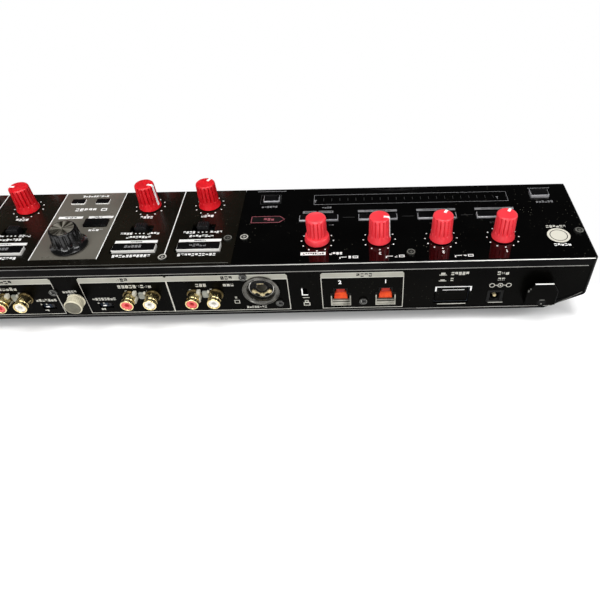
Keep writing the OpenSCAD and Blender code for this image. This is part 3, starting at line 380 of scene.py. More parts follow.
# Lit and shaded copies of the one knob red: the brighter for the decks' knobs, the darker, painted shade, for the
# mixer's
RED_LIT, RED_SHADED = (finish(name, bright, dull, 120, (0.28, 0.38), grain=0.12, grain_scale=1600) for name, bright, dull in
                 (("knob_red", (0.86, 0.045, 0.06), (0.8, 0.035, 0.05)),
                  ("knob_red_shaded", (0.72, 0.01, 0.018), (0.63, 0.006, 0.012))))
POINTER = finish("pointer_white", (0.88, 0.87, 0.84), rough=(0.35, 0.5))
BLACK_KNOB = finish("browse_black", (0.003, 0.003, 0.0031), rough=(0.12, 0.22), shine=0.45)
STEEL = finish("bright_steel", (0.62, 0.61, 0.58), (0.45, 0.44, 0.41), 80, (0.22, 0.4), metal=1.0, grain=0.1)
SCREW = finish("dark_screw", (0.03, 0.03, 0.028), (0.014, 0.014, 0.013), 90, (0.25, 0.4), metal=0.5)
# Painted highlight on the plate screws' heads
SCREW_GLINT = finish("screw_highlight", (0.72, 0.71, 0.64), (0.4, 0.39, 0.35), 300, (0.2, 0.34), metal=0.1)
GOLD = finish("gold_plate", (0.84, 0.7, 0.38), (0.66, 0.53, 0.25), 90, (0.14, 0.28), metal=1.0)
RED_INSERT = finish("red_insert", (0.82, 0.13, 0.12), (0.7, 0.09, 0.09), 200, (0.35, 0.5))
WHITE_INSERT = finish("white_insert", (0.84, 0.82, 0.77), (0.75, 0.73, 0.68), 200, (0.35, 0.5))
GOLD_DARK = finish("gold_shaded", (0.16, 0.115, 0.045), (0.06, 0.045, 0.018), 200, (0.2, 0.34), metal=0.9)
BRIDGE = finish("bridge_grey", (0.3, 0.31, 0.27), (0.15, 0.155, 0.135), 200, (0.35, 0.5))
# Cream of the insulators between the phono barrels, also used for a painted highlight streak
INSULATOR_AND_GLINT = finish("cream_insulator_and_glint", (0.62, 0.6, 0.5), (0.34, 0.33, 0.28), 120, (0.3, 0.45))
CHAMPAGNE = finish("champagne_metal", (0.76, 0.71, 0.54), (0.48, 0.445, 0.33), 160, (0.24, 0.36), metal=0.25)
# Painted shade: the nut's end face, a darker copy of the champagne metal
NUT_FACE_SHADED = finish("nut_face_shaded", (0.15, 0.142, 0.105), (0.11, 0.104, 0.078), 300, (0.4, 0.5), shine=0.2)
SOCKET = finish("socket_black", (0.0035, 0.0035, 0.0034), rough=(0.35, 0.5), grain=0.2, shine=0.08)
SOCKET_RING = finish("socket_ring", (0.17, 0.165, 0.15), (0.045, 0.043, 0.038), 110, (0.2, 0.32), metal=0.9)
BORE_LINING = finish("bore_lining", (0.22, 0.205, 0.165), (0.12, 0.11, 0.085), 300, (0.3, 0.4), metal=0.3)
CONTACT = finish("contact_brass", (0.66, 0.56, 0.33), (0.42, 0.35, 0.19), 300, (0.25, 0.4), metal=0.6)
# Painted light: the orange tongue glows faintly, and its upper part takes a darker copy of the orange, painted shade
TONGUE = finish("tongue_orange", (0.5, 0.028, 0.006), (0.78, 0.085, 0.014), 200, (0.4, 0.5), shine=0.15, glow=0.1)
TONGUE_SHADED = finish("tongue_shaded", (0.34, 0.014, 0.006), (0.46, 0.02, 0.008), 200, (0.35, 0.5), shine=0.2)
USB_STEEL = finish("port_steel", (0.44, 0.43, 0.37), (0.2, 0.195, 0.165), 160, (0.25, 0.4), metal=0.6)
RUBBER = finish("foot_rubber", (0.016, 0.016, 0.016), rough=(0.7, 0.85), grain=0.4, shine=0.3)
BOARD = finish("board_green", (0.015, 0.1, 0.05), (0.01, 0.07, 0.035), 50, (0.35, 0.5))
PARTS = finish("control_parts", (0.22, 0.26, 0.32), (0.16, 0.19, 0.24), 90, (0.35, 0.5), metal=0.7)
BUTTON = finish("button_black", (0.0022, 0.0022, 0.0024), rough=(0.18, 0.3), shine=0.08)
SKIRT = finish("skirt_silver", (0.42, 0.42, 0.43), (0.3, 0.3, 0.32), 80, (0.25, 0.4), metal=0.3)
SKIRT_WHITE = finish("skirt_white", (0.74, 0.73, 0.7), (0.6, 0.59, 0.56), 80, (0.3, 0.45))
PAD = finish("pad_rubber", (0.04, 0.04, 0.043), (0.03, 0.03, 0.033), 60, (0.5, 0.65), grain=0.3)
FADER = finish("fader_black", (0.018, 0.018, 0.02), rough=(0.3, 0.42), grain=0.2, shine=0.4)
LEVER = finish("lever_grey", (0.008, 0.008, 0.0085), (0.005, 0.005, 0.0055), 90, (0.25, 0.4), shine=0.2)
JOG_RING = finish("jog_ring", (0.012, 0.012, 0.013), rough=(0.25, 0.38), grain=0.15)
JOG_TOP = finish("jog_top", (0.048, 0.049, 0.052), (0.034, 0.035, 0.038), 40, (0.22, 0.34), metal=0.6)
LAMP = {name: finish("lamp_" + name, colour, rough=(0.2, 0.3)) for name, colour in
        (("green", (0.05, 0.3, 0.08)), ("amber", (0.42, 0.22, 0.03)), ("red", (0.42, 0.03, 0.03)))}


SHARP_EDGE = math.radians(35)


def piece(name, surfaces, body, replaced=()):
    """One object from (surface, finish) pairs, its faces smooth but for edges sharper than SHARP_EDGE."""
    points, faces, picks, finishes, start = [], [], [], [], 0
    for (verts, quads), material in surfaces:
        points.append(verts)
        faces.extend([[i + start for i in face] for face in quads])
        if material not in finishes:
            finishes.append(material)
        picks.extend([finishes.index(material)] * len(quads))
        start += len(verts)
    mesh = bpy.data.meshes.new(name)
    mesh.from_pydata(np.concatenate(points).tolist(), [], faces)
    for material in finishes:
        mesh.materials.append(material)
    mesh.polygons.foreach_set("material_index", picks)
    mesh.polygons.foreach_set("use_smooth", [True] * len(picks))
    mesh.update()
    mesh.set_sharp_from_angle(angle=SHARP_EDGE)
    obj = bpy.data.objects.new(name, mesh)
    bpy.context.scene.collection.objects.link(obj)
    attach(obj, body)
    if replaced:
        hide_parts(*replaced)
    return obj


def dress(node, material):
    """Gives a CAD node its finish."""
    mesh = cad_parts[node].data
    mesh.materials.clear()
    mesh.materials.append(material)


# ---------- knobs ----------

FLUTES = 16
KNOB_Z = TOP + mm(0.6)
CAP_H = 17.8
GRIP_R = 6.4
GROOVE_DEPTH = 1.15
GROOVE_HALF = 0.15
SHAFT = (rod([(3, -16), (3, -0.1)], 32), STEEL)


def narrow_grooves(angle, z):
    """Upright grooves: GROOVE_DEPTH (1 - (u / GROOVE_HALF)^2) across a groove, fading out over 0.8 mm at both ends."""
    u = (angle * FLUTES / FULL) % 1 - 0.5
    across = np.clip(1 - (u / GROOVE_HALF) ** 2, 0, None)
    along = np.clip((z - 4.5) / 0.8, 0, 1) * np.clip((CAP_H - 0.7 - z) / 0.8, 0, 1)
    return GROOVE_DEPTH * across * along


def densely(profile, start, end, step=0.4):
    """The profile with its segment from point start to point end cut into short steps."""
    a, b = np.array(profile[start]), np.array(profile[end])
    count = max(2, int(np.linalg.norm(b - a) / step))
    return list(profile[:start]) + [tuple(a + (b - a) * t) for t in np.linspace(0, 1, count)] + list(profile[end + 1:])


def cap(foot_r, dish=0.15):
    """A fluted cap: flared skirt, straight grip with narrow grooves, softly rounded and slightly dished top."""
    profile = [(foot_r - 0.25, 0), (foot_r, 0.25), (foot_r, 0.9), (foot_r - 0.45, 2.3), (foot_r - 0.75, 4.4),
               (GRIP_R, CAP_H - 1.1), (GRIP_R - 0.14, CAP_H - 0.6), (GRIP_R - 0.5, CAP_H - 0.2),
               (GRIP_R - 1, CAP_H), (GRIP_R * 0.6, CAP_H - dish * 0.7), (GRIP_R * 0.2, CAP_H - dish)]
    return rod(densely(profile, 4, 5), FLUTES * 12, narrow_grooves)


def pointer(foot_r):
    """A strip that follows the cap from part way along its top, over the edge and down to the skirt."""
    path = [(GRIP_R * 0.42, CAP_H - 0.06), (GRIP_R - 1, CAP_H + 0.03), (GRIP_R - 0.45, CAP_H - 0.17),
            (GRIP_R - 0.06, CAP_H - 0.62), (GRIP_R + 0.06, CAP_H - 1.2), (foot_r - 0.7, 4.4), (foot_r - 0.4, 2.3)]
    half = 0.85
    return closed(np.array([[(-half, reach - 0.5, z - 0.3), (half, reach - 0.5, z - 0.3),
                             (half, reach + 0.08, z + 0.06), (-half, reach + 0.08, z + 0.06)] for reach, z in path]))


KNOB_R = 7.45
CAP, STRIP = cap(KNOB_R), pointer(KNOB_R)


def knob_place(name):
    """The foot of a knob's cap."""
    x, y, _ = middle(name)
    return x, y, KNOB_Z


def knob(name, degrees):
    """One red knob with its pointer, turned from pointing to the rear."""
    # FX knobs take the lit copy of the red, the mixer's knobs the shaded copy
    red = RED_LIT if name.startswith("fx_") else RED_SHADED
    piece(name + "_cap", set_at(knob_place(name), (spun(CAP, degrees), red), (spun(STRIP, degrees), POINTER), SHAFT),
          name, [name])


for side in DECKS:
    for n, degrees in zip((1, 2, 3), (150, 150, 78)):
        knob(f"fx_knob_{side}_{n}", degrees)
    collar = rod(rounded([(6.6, 0), (7.95, 0), (7.9, 2.2), (7.5, 4.3), (6.6, 4.5)], 0.7, 6), 96)
    name = f"beats_knob_{side}"
    piece(name + "_cap", set_at(knob_place(name), (collar, RED_LIT), (cap(7, 0.9), RED_LIT), SHAFT), name, [name])

for c, degrees in zip((1, 2, 3, 4), (75, -90, 150, 0)):
    knob(f"trim_knob_{c}", degrees)
    for tone in ("high", "mid", "low"):
        knob(f"{tone}_knob_{c}", 0)
knob("master_knob", 0)
knob("phones_knob", 0)


def wide_flutes(angle, z):
    """The browse knob's flutes: 0.7 cos^0.7 deep, fading out above and below."""
    across = np.clip(np.cos(angle * FLUTES), 0, None) ** 0.7
    return 0.7 * across * np.clip((z - 3.4) / 1.2, 0, 1) * np.clip((12.9 - z) / 0.8, 0, 1)


x, y, z = knob_place("browse_knob")
grip = [(11.2, 0), (11.5, 0.3), (11.5, 1.2), (10.2, 2.2), (9.3, 3.4), (8.5, 12.6), (8.3, 13.1), (7.7, 13.4),
        (6.9, 13.35), (6.4, 13), (2, 12.8)]
disc = rod([(7.3, 13.1), (7.3, 13.42), (7.1, 13.5), (6.4, 13.32), (1, 13.2)], 96)
piece("browse_knob_cap", set_at((x, y, z), (rod(densely(grip, 4, 5), FLUTES * 14, wide_flutes), BLACK_KNOB),
                                (disc, spun_disc((x, y, z + mm(13)))), SHAFT),
      "browse_knob", ["browse_knob"])

# ---------- jog wheels ----------

def finger_grips(angle, z):
    """Half-round finger grips round the rim: 1.6 cos^1.5 deep, fading out above and below."""
    across = np.clip(np.cos(angle * 48), 0, None) ** 1.5
    return 1.6 * across * np.clip((z - 1.2) / 0.8, 0, 1) * np.clip((9.0 - z) / 1.0, 0, 1)


rim = densely([(60, 0.1), (74.6, 0.1), (75.6, 0.6), (76, 1.2), (76, 8.8), (75.3, 10.2), (74, 11), (60.6, 11),
               (60, 10.6), (59.4, 9.9)], 3, 4, 0.8)
plate = [(59.3, 2), (59.3, 9.55), (58.9, 9.8), (44.3, 9.8), (44, 9.6), (43.7, 9.8), (30.4, 9.8), (30, 9.5), (29.6, 9.8),
         (4, 9.8)]
ring = [(70.2, 11), (70.2, 11.03), (70.7, 11.03), (70.7, 11)]
hub = rounded([(20, 9.7), (20, 9.95), (16, 9.95), (15.6, 9.7), (15.2, 9.95), (2, 9.95)], 0.1, 3)
wheel = ((hollow(turned(rim, 480, finger_grips)), JOG_RING), (rod(plate, 192), JOG_TOP),
         (hollow(turned(ring, 192)), INK_GREY), (rod(hub, 128), GLOSS), (rod([(6, -15), (6, 0.5)]), STEEL))
for side in DECKS:
    name = f"jog_{side}"
    x, y, _ = middle(name)
    piece(name + "_wheel", set_at((x, y, TOP + mm(2)), *wheel), name, [name])

# ---------- faders and selectors ----------

def fader(name, turn=0):
    """A fader cap: its section along the travel is waisted, 7.1 + 1.7 |t|^1.6 high, with ribs and a line across it."""
    x, y, _ = middle(name)
    t = np.linspace(-1, 1, 61)
    crest = 7.1 + 1.7 * np.abs(t) ** 1.6 - 0.9 * np.clip((np.abs(t) - 0.86) / 0.14, 0, 1) ** 2 \
        - 0.22 * (np.cos(t * PI * 8) > 0.35) * (np.abs(t) > 0.2) * (np.abs(t) < 0.85)
    rings = [[(-10, 5.5 * u, 0.2), (10, 5.5 * u, 0.2), (10, 5.5 * u, top * 0.4), (9.5, 5.5 * u, top - 0.4),
              (9, 5.5 * u, top), (-9, 5.5 * u, top), (-9.5, 5.5 * u, top - 0.4), (-10, 5.5 * u, top * 0.4)]
             for u, top in zip(t, crest)]
    pairs = ((closed(np.array(rings)[::-1]), FADER), (boxes([(-9.1, 9.1, -0.5, 0.5, 6.7, 7.2)]), WHITE_INK_AND_GLINT),
             (boxes([(-0.7, 0.7, -2.5, 2.5, -14, 2)]), STEEL))
    pairs = [(spun(surface, turn), material) for surface, material in pairs]
    piece(name + "_cap", set_at((x, y, TOP + mm(0.8)), *pairs), name, [name])


def selector(name):
    """A small slide lever with a rolled top and four ribs across it."""
    x, y, _ = middle(name)
    t = np.linspace(-1, 1, 33)
    crest = 3.4 - 0.9 * np.abs(t) ** 6 - 0.25 * (np.cos(t * PI * 5) > 0.2)
    rings = [[(3.7 * u, -2.6, -2.9), (3.7 * u, -2.7, top - 0.4), (3.7 * u, -2.3, top), (3.7 * u, 2.3, top),
              (3.7 * u, 2.7, top - 0.4), (3.7 * u, 2.6, -2.9)] for u, top in zip(t, crest)]
    piece(name + "_lever", set_at((x, y, TOP), (closed(np.array(rings)[::-1]), LEVER),
                                  (boxes([(-1.2, 1.2, -1.2, 1.2, -12.6, -2.8)]), STEEL)), name, [name])


for c in COLUMNS:
    fader(f"channel_fader_{c}")
for side in DECKS:
    fader(f"tempo_fader_{side}")
fader("crossfader", 90)
for c in COLUMNS:
    selector(f"selector_{c}")

# ---------- buttons ----------

FLANGE = (-3.5, -2.3)
STEM = (-1.5, 1.5, -1.5, 1.5, -10.2, FLANGE[0])


def at(x, d):
    """A place on the top: x across and d from the rear edge, in millimetres, as metres."""
    return mm(x), REAR - mm(d), TOP


def button(x, d, w, h, proud, face, skirt=None, dish=0.0, rim=0.5):
    """A key: its flange and stem below the plate, a skirt if it has one, and a softly edged top."""
    foot = boxes([(-w / 2 - 1, w / 2 + 1, -h / 2 - 1, h / 2 + 1, *FLANGE), STEM])
    low = FLANGE[1] - 0.1
    if skirt:
        tops = ((block(w, h, low, proud - 0.5, 0.7, 0.3), skirt),
                (block(w - 2 * rim, h - 2 * rim, proud - 1.2, proud, 0.6, 0.3, dish), face))
    else:
        tops = ((block(w, h, low, proud, 0.7, 0.4, dish), face),)
    return set_at(at(x, d), (foot, SOCKET), *tops)


parts = []
for c, x in COLUMNS.items():
    parts += button(x * 1000 - 0.6, 18, 27.4, 7, 2.2, BUTTON, SKIRT_WHITE, rim=0.35)
    parts += button(x * 1000, 198, 14, 7, 1.6, BUTTON, SKIRT)
parts += button(-10, 46, 15.7, 8, 1.6, BUTTON)
for x in (9.7, -7.2):
    parts += button(x, 71, 9.6, 5.6, 1.2, BUTTON, SKIRT_WHITE, rim=0.35)
piece("mixer_keys", parts, "mixer_buttons", ["mixer_buttons"])

MODE_X = [-53 + 36 * i for i in range(4)]
DECK_KEYS = [(x * 1000, 46.5, 26, 6, 1.4) for x in FX_X] + [(-92, 69.6, 12.7, 8, 2.2), (94, 70, 11.2, 7, 1.2)]
DECK_KEYS += [(x, 256, 22, 6, 1.2) for x in MODE_X] + [(-92, d, 16, 9, 1.6) for d in (104, 131, 158, 185, 216)]
DECK_KEYS += [(94, d, 14, 7, 1.2) for d in (214, 264, 290)]
ring = rod(rounded([(11, -2.4), (11, 1.6), (10.5, 1.9), (9.6, 1.9)], 0.3), 96)
top = rod(rounded([(9.5, -2.4), (9.5, 2.1), (9, 2.4), (3, 2.2)], 0.35), 96)
round_key = ((ring, SKIRT), (top, BUTTON), (rod([(11.9, FLANGE[0]), (11.9, FLANGE[1])], 64), SOCKET),
             (boxes([STEM]), SOCKET))
parts, pads = [], []
for deck_x in DECKS.values():
    shift = deck_x * 1000
    for x, d, w, h, proud in DECK_KEYS:
        parts += button(x + shift, d, w, h, proud, BUTTON, SKIRT)
    for d in (264, 300):
        parts += set_at(at(shift - 90, d), *round_key)
    for x in MODE_X:
        for d in (279, 306):
            pads += button(x + shift, d, 26, 24, 1.8, PAD, dish=0.12)
piece("deck_keys", parts, "deck_buttons", ["deck_buttons"])
piece("pad_keys", pads, "pads", ["pads"])

# ---------- sockets at the rear ----------

# Rows of sockets, in millimetres below the top
PHONO_DROP = 24
RING_DROP = 21.2
USB_DROP = 30.6
# Right and left of each pair, 1 for the white one
PHONO = [(-38, 0), (-52.4, 1), (42, 0), (29.2, 1), (-79, 0), (-92.7, 1), (93.5, 0), (79.5, 1), (262, 0), (248, 1)]
shell = rounded([(4.1, 2), (4.1, 6.4), (3.9, 6.6), (3.9, 7), (4.15, 7.2), (4.15, 9), (4, 9.35), (3.5, 9.4),
                 (3.3, 9.1), (3.3, 2)], 0.15, 3)
foot = rounded([(4.8, -1.6), (4.8, 0.8), (4.5, 1), (4.15, 1), (4.08, 1.4), (4.08, 2), (3.3, 2), (3.3, -1.6)], 0.15, 3)
filling = rounded([(3.28, -1.6), (3.28, 8.9), (3.1, 9.1), (1.7, 9), (1.4, 8.8), (1.4, -1.6)], 0.25, 4)
parts = []
for x, white in PHONO:
    insert = WHITE_INSERT if white else RED_INSERT
    parts += set_rear(x, PHONO_DROP, (pipe(shell, 64), GOLD), (pipe(foot, 64), GOLD_DARK), (pipe(filling, 64), insert),
                      (pipe([(1.38, -6), (1.38, 8), (1.2, 8), (1.2, -6)], 48), insert),
                      (rod([(1.35, -7.6), (1.35, 3)], 32), CONTACT),
                      (boxes([(-5.5, 5.5, -5.5, 5.5, -13.5, -7.6)]), SOCKET),
                      (pipe([(5.4, -7.6), (5.4, -1.7), (1.8, -1.7), (1.8, -7.6)], 48), SOCKET))
# Between each pair: a bridge and its wedges, each with its size, place, depth and finish. The tall cream wedge is a
# painted highlight, a streak along the red barrel's side
WEDGES = ((2.2, 2.6, 3.4, -3.4, 3.2, INSULATOR_AND_GLINT), (0.9, 3.0, 2.9, 0.4, 5.5, INSULATOR_AND_GLINT),
          (1.4, 1.6, -2.6, -3.0, 1.6, INSULATOR_AND_GLINT), (1.0, 3.2, -1.6, 4.0, 0.6, LEVER))
for x in (-45.2, 35.6, -85.9, 86.5, 255):
    parts += set_rear(x - 0.4, 23.2, (block(4.2, 5.4, 0.02, 1.4, 1.2, 0.5), BRIDGE))
    parts += set_rear(x, PHONO_DROP, *[(shifted(block(w, h, 0.02, depth, 0.4, 0.3), across, down), material)
                               for w, h, across, down, depth, material in WEDGES])
piece("phono_barrels", parts, "case", ["phono_sockets"])


def round_about(surface, radius, turns, material, spin=True):
    """Copies of a surface round a socket's middle, each pushed out by the radius, and turned unless spin is off."""
    return [(shifted(spun(surface, turn) if spin else surface, radius * math.cos(math.radians(turn)),
                     radius * math.sin(math.radians(turn))), material) for turn in turns]


rim = rounded([(9.1, -3), (9.1, 0.8), (9.5, 1.25), (10, 1.25), (10.2, 0.95), (11.2, 0.95), (11.4, 1.4),
               (11.75, 1.4), (11.85, 1.2), (11.85, 0), (10, -0.2), (10, -24), (8.4, -24), (8.4, -3)], 0.15, 3)
core = rounded([(8.3, -24), (8.3, -2.6), (7.9, -2.2), (7.2, -2.2), (6.9, -2.6), (4.6, -2.8), (4.2, -2.2), (3.4, -2.2),
                (3.3, -2.6), (3.3, -22)], 0.2, 3)
microphone = [(hollow(turned(rim, 96)), SOCKET_RING), (pipe(core, 96), SOCKET),
              (pipe([(8, -2.25), (8, -1.9), (7.6, -1.9), (7.6, -2.25)], 96), STEEL),
              (rod([(3.2, -24), (3.2, -22.5)]), SOCKET),
              (pipe([(3.28, -20), (3.28, -2.7), (3.14, -2.7), (3.14, -20)], 48), BORE_LINING)]
microphone += round_about(boxes([(-0.9, 0.9, -1.5, 1.5, -2.8, -1.6), (-1.5, 1.5, -0.45, 0.45, -2.8, -1.75)]), 5.8,
                          (30, 90, 150), CONTACT)
microphone += round_about(boxes([(-0.4, 0.4, -2.6, 2.6, -2.7, -1.9)]), 4.9, (52, 128), CONTACT)
microphone += [(shifted(block(6.4, 2.6, -2.4, 1, 0.5, 0.3), 0, -7.6), SOCKET),
               (shifted(block(4.4, 1, -2.4, 0.2, 0.3, 0.2), 0, -5.6), CONTACT)]
ring = rounded([(8.5, -12.4), (8.5, 0.9), (9.3, 1.4), (11.5, 1.4), (11.85, 1.1), (11.85, 0), (9.5, -0.2),
                (9.5, -12.5), (8.5, -12.5)], 0.3, 4)
balanced = [(hollow(turned(ring[:-1], 96)), STEEL), (rod([(8.45, -12.5), (8.45, -10.5)], 64), SOCKET)]
balanced += round_about(rod([(1.2, -10.6), (1.2, -2.2), (0.8, -1.5), (0.3, -1.3)], 32), 5.2, (30, 150, 270), GOLD,
                        spin=False)
parts = []
for places, socket in (((-122, 122), microphone), ((181, 220), balanced)):
    for x in places:
        parts += set_rear(x, RING_DROP, *socket)
piece("mic_and_balanced", parts, "case", ["mic_and_balanced_sockets"])


def jack(bore, nut, body, wall):
    """A jack socket along +Z: a round bushing with a plain lip, a brass sleeve in its bore, and its body behind."""
    w, d, back = body[0] / 2, body[1] / 2, -wall - body[2]
    sleeve, near = bore + 0.8, bore + 0.9
    lip = rounded([(bore, 0.8), (nut - 0.5, 0.8), (nut, 0.4), (nut, -wall), (sleeve, -wall), (sleeve, -wall - 0.01),
                   (bore, -wall - 0.01)], 0.25, 3)
    tube = [(bore, back + 2), (bore, -wall), (sleeve, -wall), (sleeve, back + 2)]
    walls = boxes([(-w, w, -d, -near, back, -wall), (-w, w, near, d, back, -wall),
                   (-w, -near, -near, near, back, -wall), (near, w, -near, near, back, -wall),
                   (-near, near, -near, near, back, back + 2)])
    return (pipe(lip, 64), SOCKET), (pipe(tube, 64), CONTACT), (walls, SOCKET)


parts = []
LARGE_JACK = (3.225, 5.5, (14, 12, 20))
for x in (286, 307.5):
    parts += set_rear(x, PHONO_DROP, *jack(*LARGE_JACK, 1.6))
for x, kind in ((-306, LARGE_JACK), (-282, (1.8, 4, (9, 9, 14)))):
    parts += [(moved(facing_front(surface), (mm(x), FRONT, TOP - mm(18))), material)
              for surface, material in jack(*kind, 2.5)]
piece("jacks", parts, "case", ["jack_sockets"])


def port(*rows):
    """A solid through outlines of a data port, a wide part with a narrower one above it, each an inset and a height."""
    levels = []
    for inset, z in rows:
        w, top_w, low, step, top = 6.5 - inset, 4.3 - inset, 5.3 - inset, -5.3 + inset, -9.7 + inset
        levels.append((np.array([(-w, low), (-w, step), (-top_w, step), (-top_w, top), (top_w, top), (top_w, step),
                                 (w, step), (w, low)]), z))
    return closed(stacked(levels))


rims = boxes([(-6.5, -5.7, -3.4, 5.3, 0.25, 0.6), (5.7, 6.5, -3.4, 5.3, 0.25, 0.6), (-5.7, 5.7, 4.5, 5.3, 0.25, 0.6),
              (-5.6, 5.6, 1.5, 2.3, -2.2, -0.6), (-5.7, 5.7, 2.9, 4.5, -1, 0.1)])
tongue = slab_rings(8.8, 5.4, [(0, -9), (0, -1.2), (0.3, -1)], 0.4)
tongue[:, :, 0] *= 0.86 + 0.14 * (tongue[:, :, 1] + 2.7) / 5.4
usb = ((port((0, -16), (0, 0.2), (0.1, 0.3), (0.5, 0.3), (0.6, 0.2), (0.6, -3), (0.6, -3.01)), SOCKET),
       (port((0.62, -9), (0.62, -2.4), (0.9, -2.4), (0.9, -8.9)), SOCKET), (rims, USB_STEEL),
       (shifted(closed(tongue), 0, -2), TONGUE), (shifted(block(5.4, 3.6, -9, -1, 0.3, 0.2), 0, -6.9), TONGUE_SHADED),
       (boxes([(k - 0.5, k + 0.5, 0.75, 0.85, -8.5, -1.4) for k in (-2.6, 0, 2.6)]), GOLD))
parts = set_rear(-172.6, USB_DROP, *usb) + set_rear(-201.5, USB_DROP, *usb)
outer, inner = outline(10.5, 10.5, 0.5, 4), outline(6.9, 6.9, 0.3, 4)
shell = closed(stacked([(outer * 0.99, -13), (outer, -12.8), (outer, -0.25), (outer * 0.985, 0), (inner * 1.01, 0),
                        (inner, -0.2), (inner, -9.5), (inner * 0.999, -9.6)]))
parts += set_rear(-272.4, 31, (shell, SOCKET),
                  (pipe([(3.44, -9.4), (3.44, -0.3), (3.1, -0.6), (3.1, -9.4)], 64), SOCKET),
                  (rod([(1.25, -9.5), (1.25, -1.2), (1, -0.8), (0.3, -0.7)], 32), CONTACT))
piece("usb_and_dc", parts, "case", ["usb_and_dc_sockets"])

HOOK = (-300.2, 24.3)
SCREW_HOLE = (-301, 31)
hook = np.array([(-9.9, 9.2), (-9.9, -2.6), (-5.8, -9.2), (5.8, -9.2), (9.9, -2.6), (9.9, 9.2)])
reach = hook.max(axis=0)
lip = closed(stacked([(hook * (1 - inset / reach), z) for inset, z in ((0.25, 4.5), (0, 4.75), (0, 6.3), (0.35, 6.7))]))
foot = boxes([(-9.7, -4.0, 3.4, 9.0, 0.02, 5), (-4.0, 9.7, 3.4, 9.0, 0.02, 5)])
well = pipe([(3.2, 6.69), (3.2, 6.73), (2.5, 6.73), (2.5, 6.69)], 40)
# Painted highlights: two glints on the screw head in its hole, and glints on the lip's chamfer
head_glints = boxes([(-1.6, 1.6, -2.5, -2, 6.68, 6.76), (-0.5, 0.4, 0.6, 1.6, 6.68, 6.76)])
glints = boxes([(8.6, 9.5, -4.2, -2.6, 6.2, 6.72), (7.6, 8.4, -5.6, -4.6, 6.2, 6.72)])
parts = set_rear(*HOOK, (lip, PRINTED), (foot, PRINTED)) + set_rear(*SCREW_HOLE, (well, PLASTIC), (head_glints, DIM_GLINT))
parts += set_rear(*HOOK, (glints, DIM_GLINT)) + set_rear(*SCREW_HOLE, (rod([(2.5, 6.68), (2.5, 6.72)], 40), INK_DARK))
# The white bar along the lip's top edge is a painted highlight
parts += set_rear(*HOOK, (boxes([(-8.2, 8.2, 8.9, 9.2, 6.2, 6.72)]), PLASTIC),
                  (boxes([(-5.9, 5.9, -9.26, -8.95, 6, 6.72)]), WHITE_INK_AND_GLINT))
piece("cord_block", parts, "case", ["cord_hook"])


def knurls(angle, z):
    """Upright knurling: 0.32 |sin 14 a|, between its two plain lips."""
    return 0.32 * np.abs(np.sin(angle * 14)) * np.clip((z - 4.3) / 0.4, 0, 1) * np.clip((9.6 - z) / 0.4, 0, 1)


nut = densely([(2.2, 3.2), (5.1, 3.2), (5.5, 3.7), (5.5, 4.3), (5.2, 4.5), (5.2, 9.3), (5.5, 9.6), (5.5, 10.3),
               (5.1, 10.7), (4.8, 10.6), (4.7, 10.2), (1, 10.1)], 4, 5, 0.5)
face = rod([(4.85, 10.5), (4.85, 10.74), (4.6, 10.8), (3.2, 10.8), (2.6, 10.5), (1.2, 10.4)], 96)
piece("ground_nut", set_rear(-4.8, 23.3, (rod(nut, 336, knurls), CHAMPAGNE), (face, NUT_FACE_SHADED),
                             (rod([(2, -8), (2, 4.2)]), STEEL)), "ground_terminal", ["ground_terminal"])

low, high = (np.array(corner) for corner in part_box("power_button"))
w, depth, h = (high - low) * 1000
x, _, z = (low + high) / 2
piece("power_key", set_at((x, high[1], z), (facing_rear(block(w, h, -depth, 0, 1.2, 0.7, dish=0.25)), PRINTED)),
      "power_button", ["power_button"])

# ---------- printed marks and painted highlights ---

INK_T = 0.04
dice = np.random.default_rng(7)


def top_bars(bars, shift=0.0, lift=0.0):
    """Flat bars on the top, printed marks or painted highlights, or lifted onto a key: each (x0, x1, d0, d1) in mm, d
    from the rear edge.
    """
    bars = np.array(bars, float).reshape(-1, 4)
    spots = np.column_stack([bars[:, 0] + shift, bars[:, 1] + shift, -bars[:, 3], -bars[:, 2],
                             np.full(len(bars), lift - 0.01), np.full(len(bars), lift + INK_T)])
    return moved(boxes(spots), (0, REAR, TOP))


def rear_bars(bars, lift=0.0, high=INK_T):
    """Flat bars on the rear panel, printed marks or painted highlights: each (x0, x1, h0, h1) in millimetres, h below
    the top.
    """
    bars = np.array(bars, float).reshape(-1, 4)
    spots = np.column_stack([np.sort(bars[:, :2]), bars[:, 2:], np.full(len(bars), lift - 0.01),
                             np.full(len(bars), lift + high)])
    return on_rear(boxes(spots), 0, 0)


def frame_bars(x0, x1, d0, d1, t=0.5):
    """The four bars of a rectangular outline."""
    return [(x0, x1, d0, d0 + t), (x0, x1, d1 - t, d1), (x0, x0 + t, d0 + t, d1 - t), (x1 - t, x1, d0 + t, d1 - t)]


def scribble(x0, x1, d0, d1):
    """Legend marks that spell nothing: letter-sized cells, each with a few strokes of a seven-stroke grid."""
    x0, x1 = min(x0, x1), max(x0, x1)
    h = d1 - d0
    step, t = h * 0.92, h * 0.25
    count = max(1, int((x1 - x0) / step))
    left = x0 + ((x1 - x0) - count * step) / 2
    bars = []
    for i in range(count):
        a, b = left + i * step + 0.08 * h, left + (i + 1) * step - 0.16 * h
        mid = (d0 + d1 - t) / 2
        strokes = [(a, b, d0, d0 + t), (a, b, mid, mid + t), (a, b, d1 - t, d1),
                   (a, a + t, d0 + t, mid), (a, a + t, mid + t, d1 - t),
                   (b - t, b, d0 + t, mid), (b - t, b, mid + t, d1 - t)]
        keep = dice.random(7) < 0.7
        keep[3 + dice.integers(0, 2)] = True
        bars += [stroke for stroke, kept in zip(strokes, keep) if kept]
    return bars


def words(*rows):
    """Scribbles for several rows."""
    return [bar for row in rows for bar in scribble(*row)]


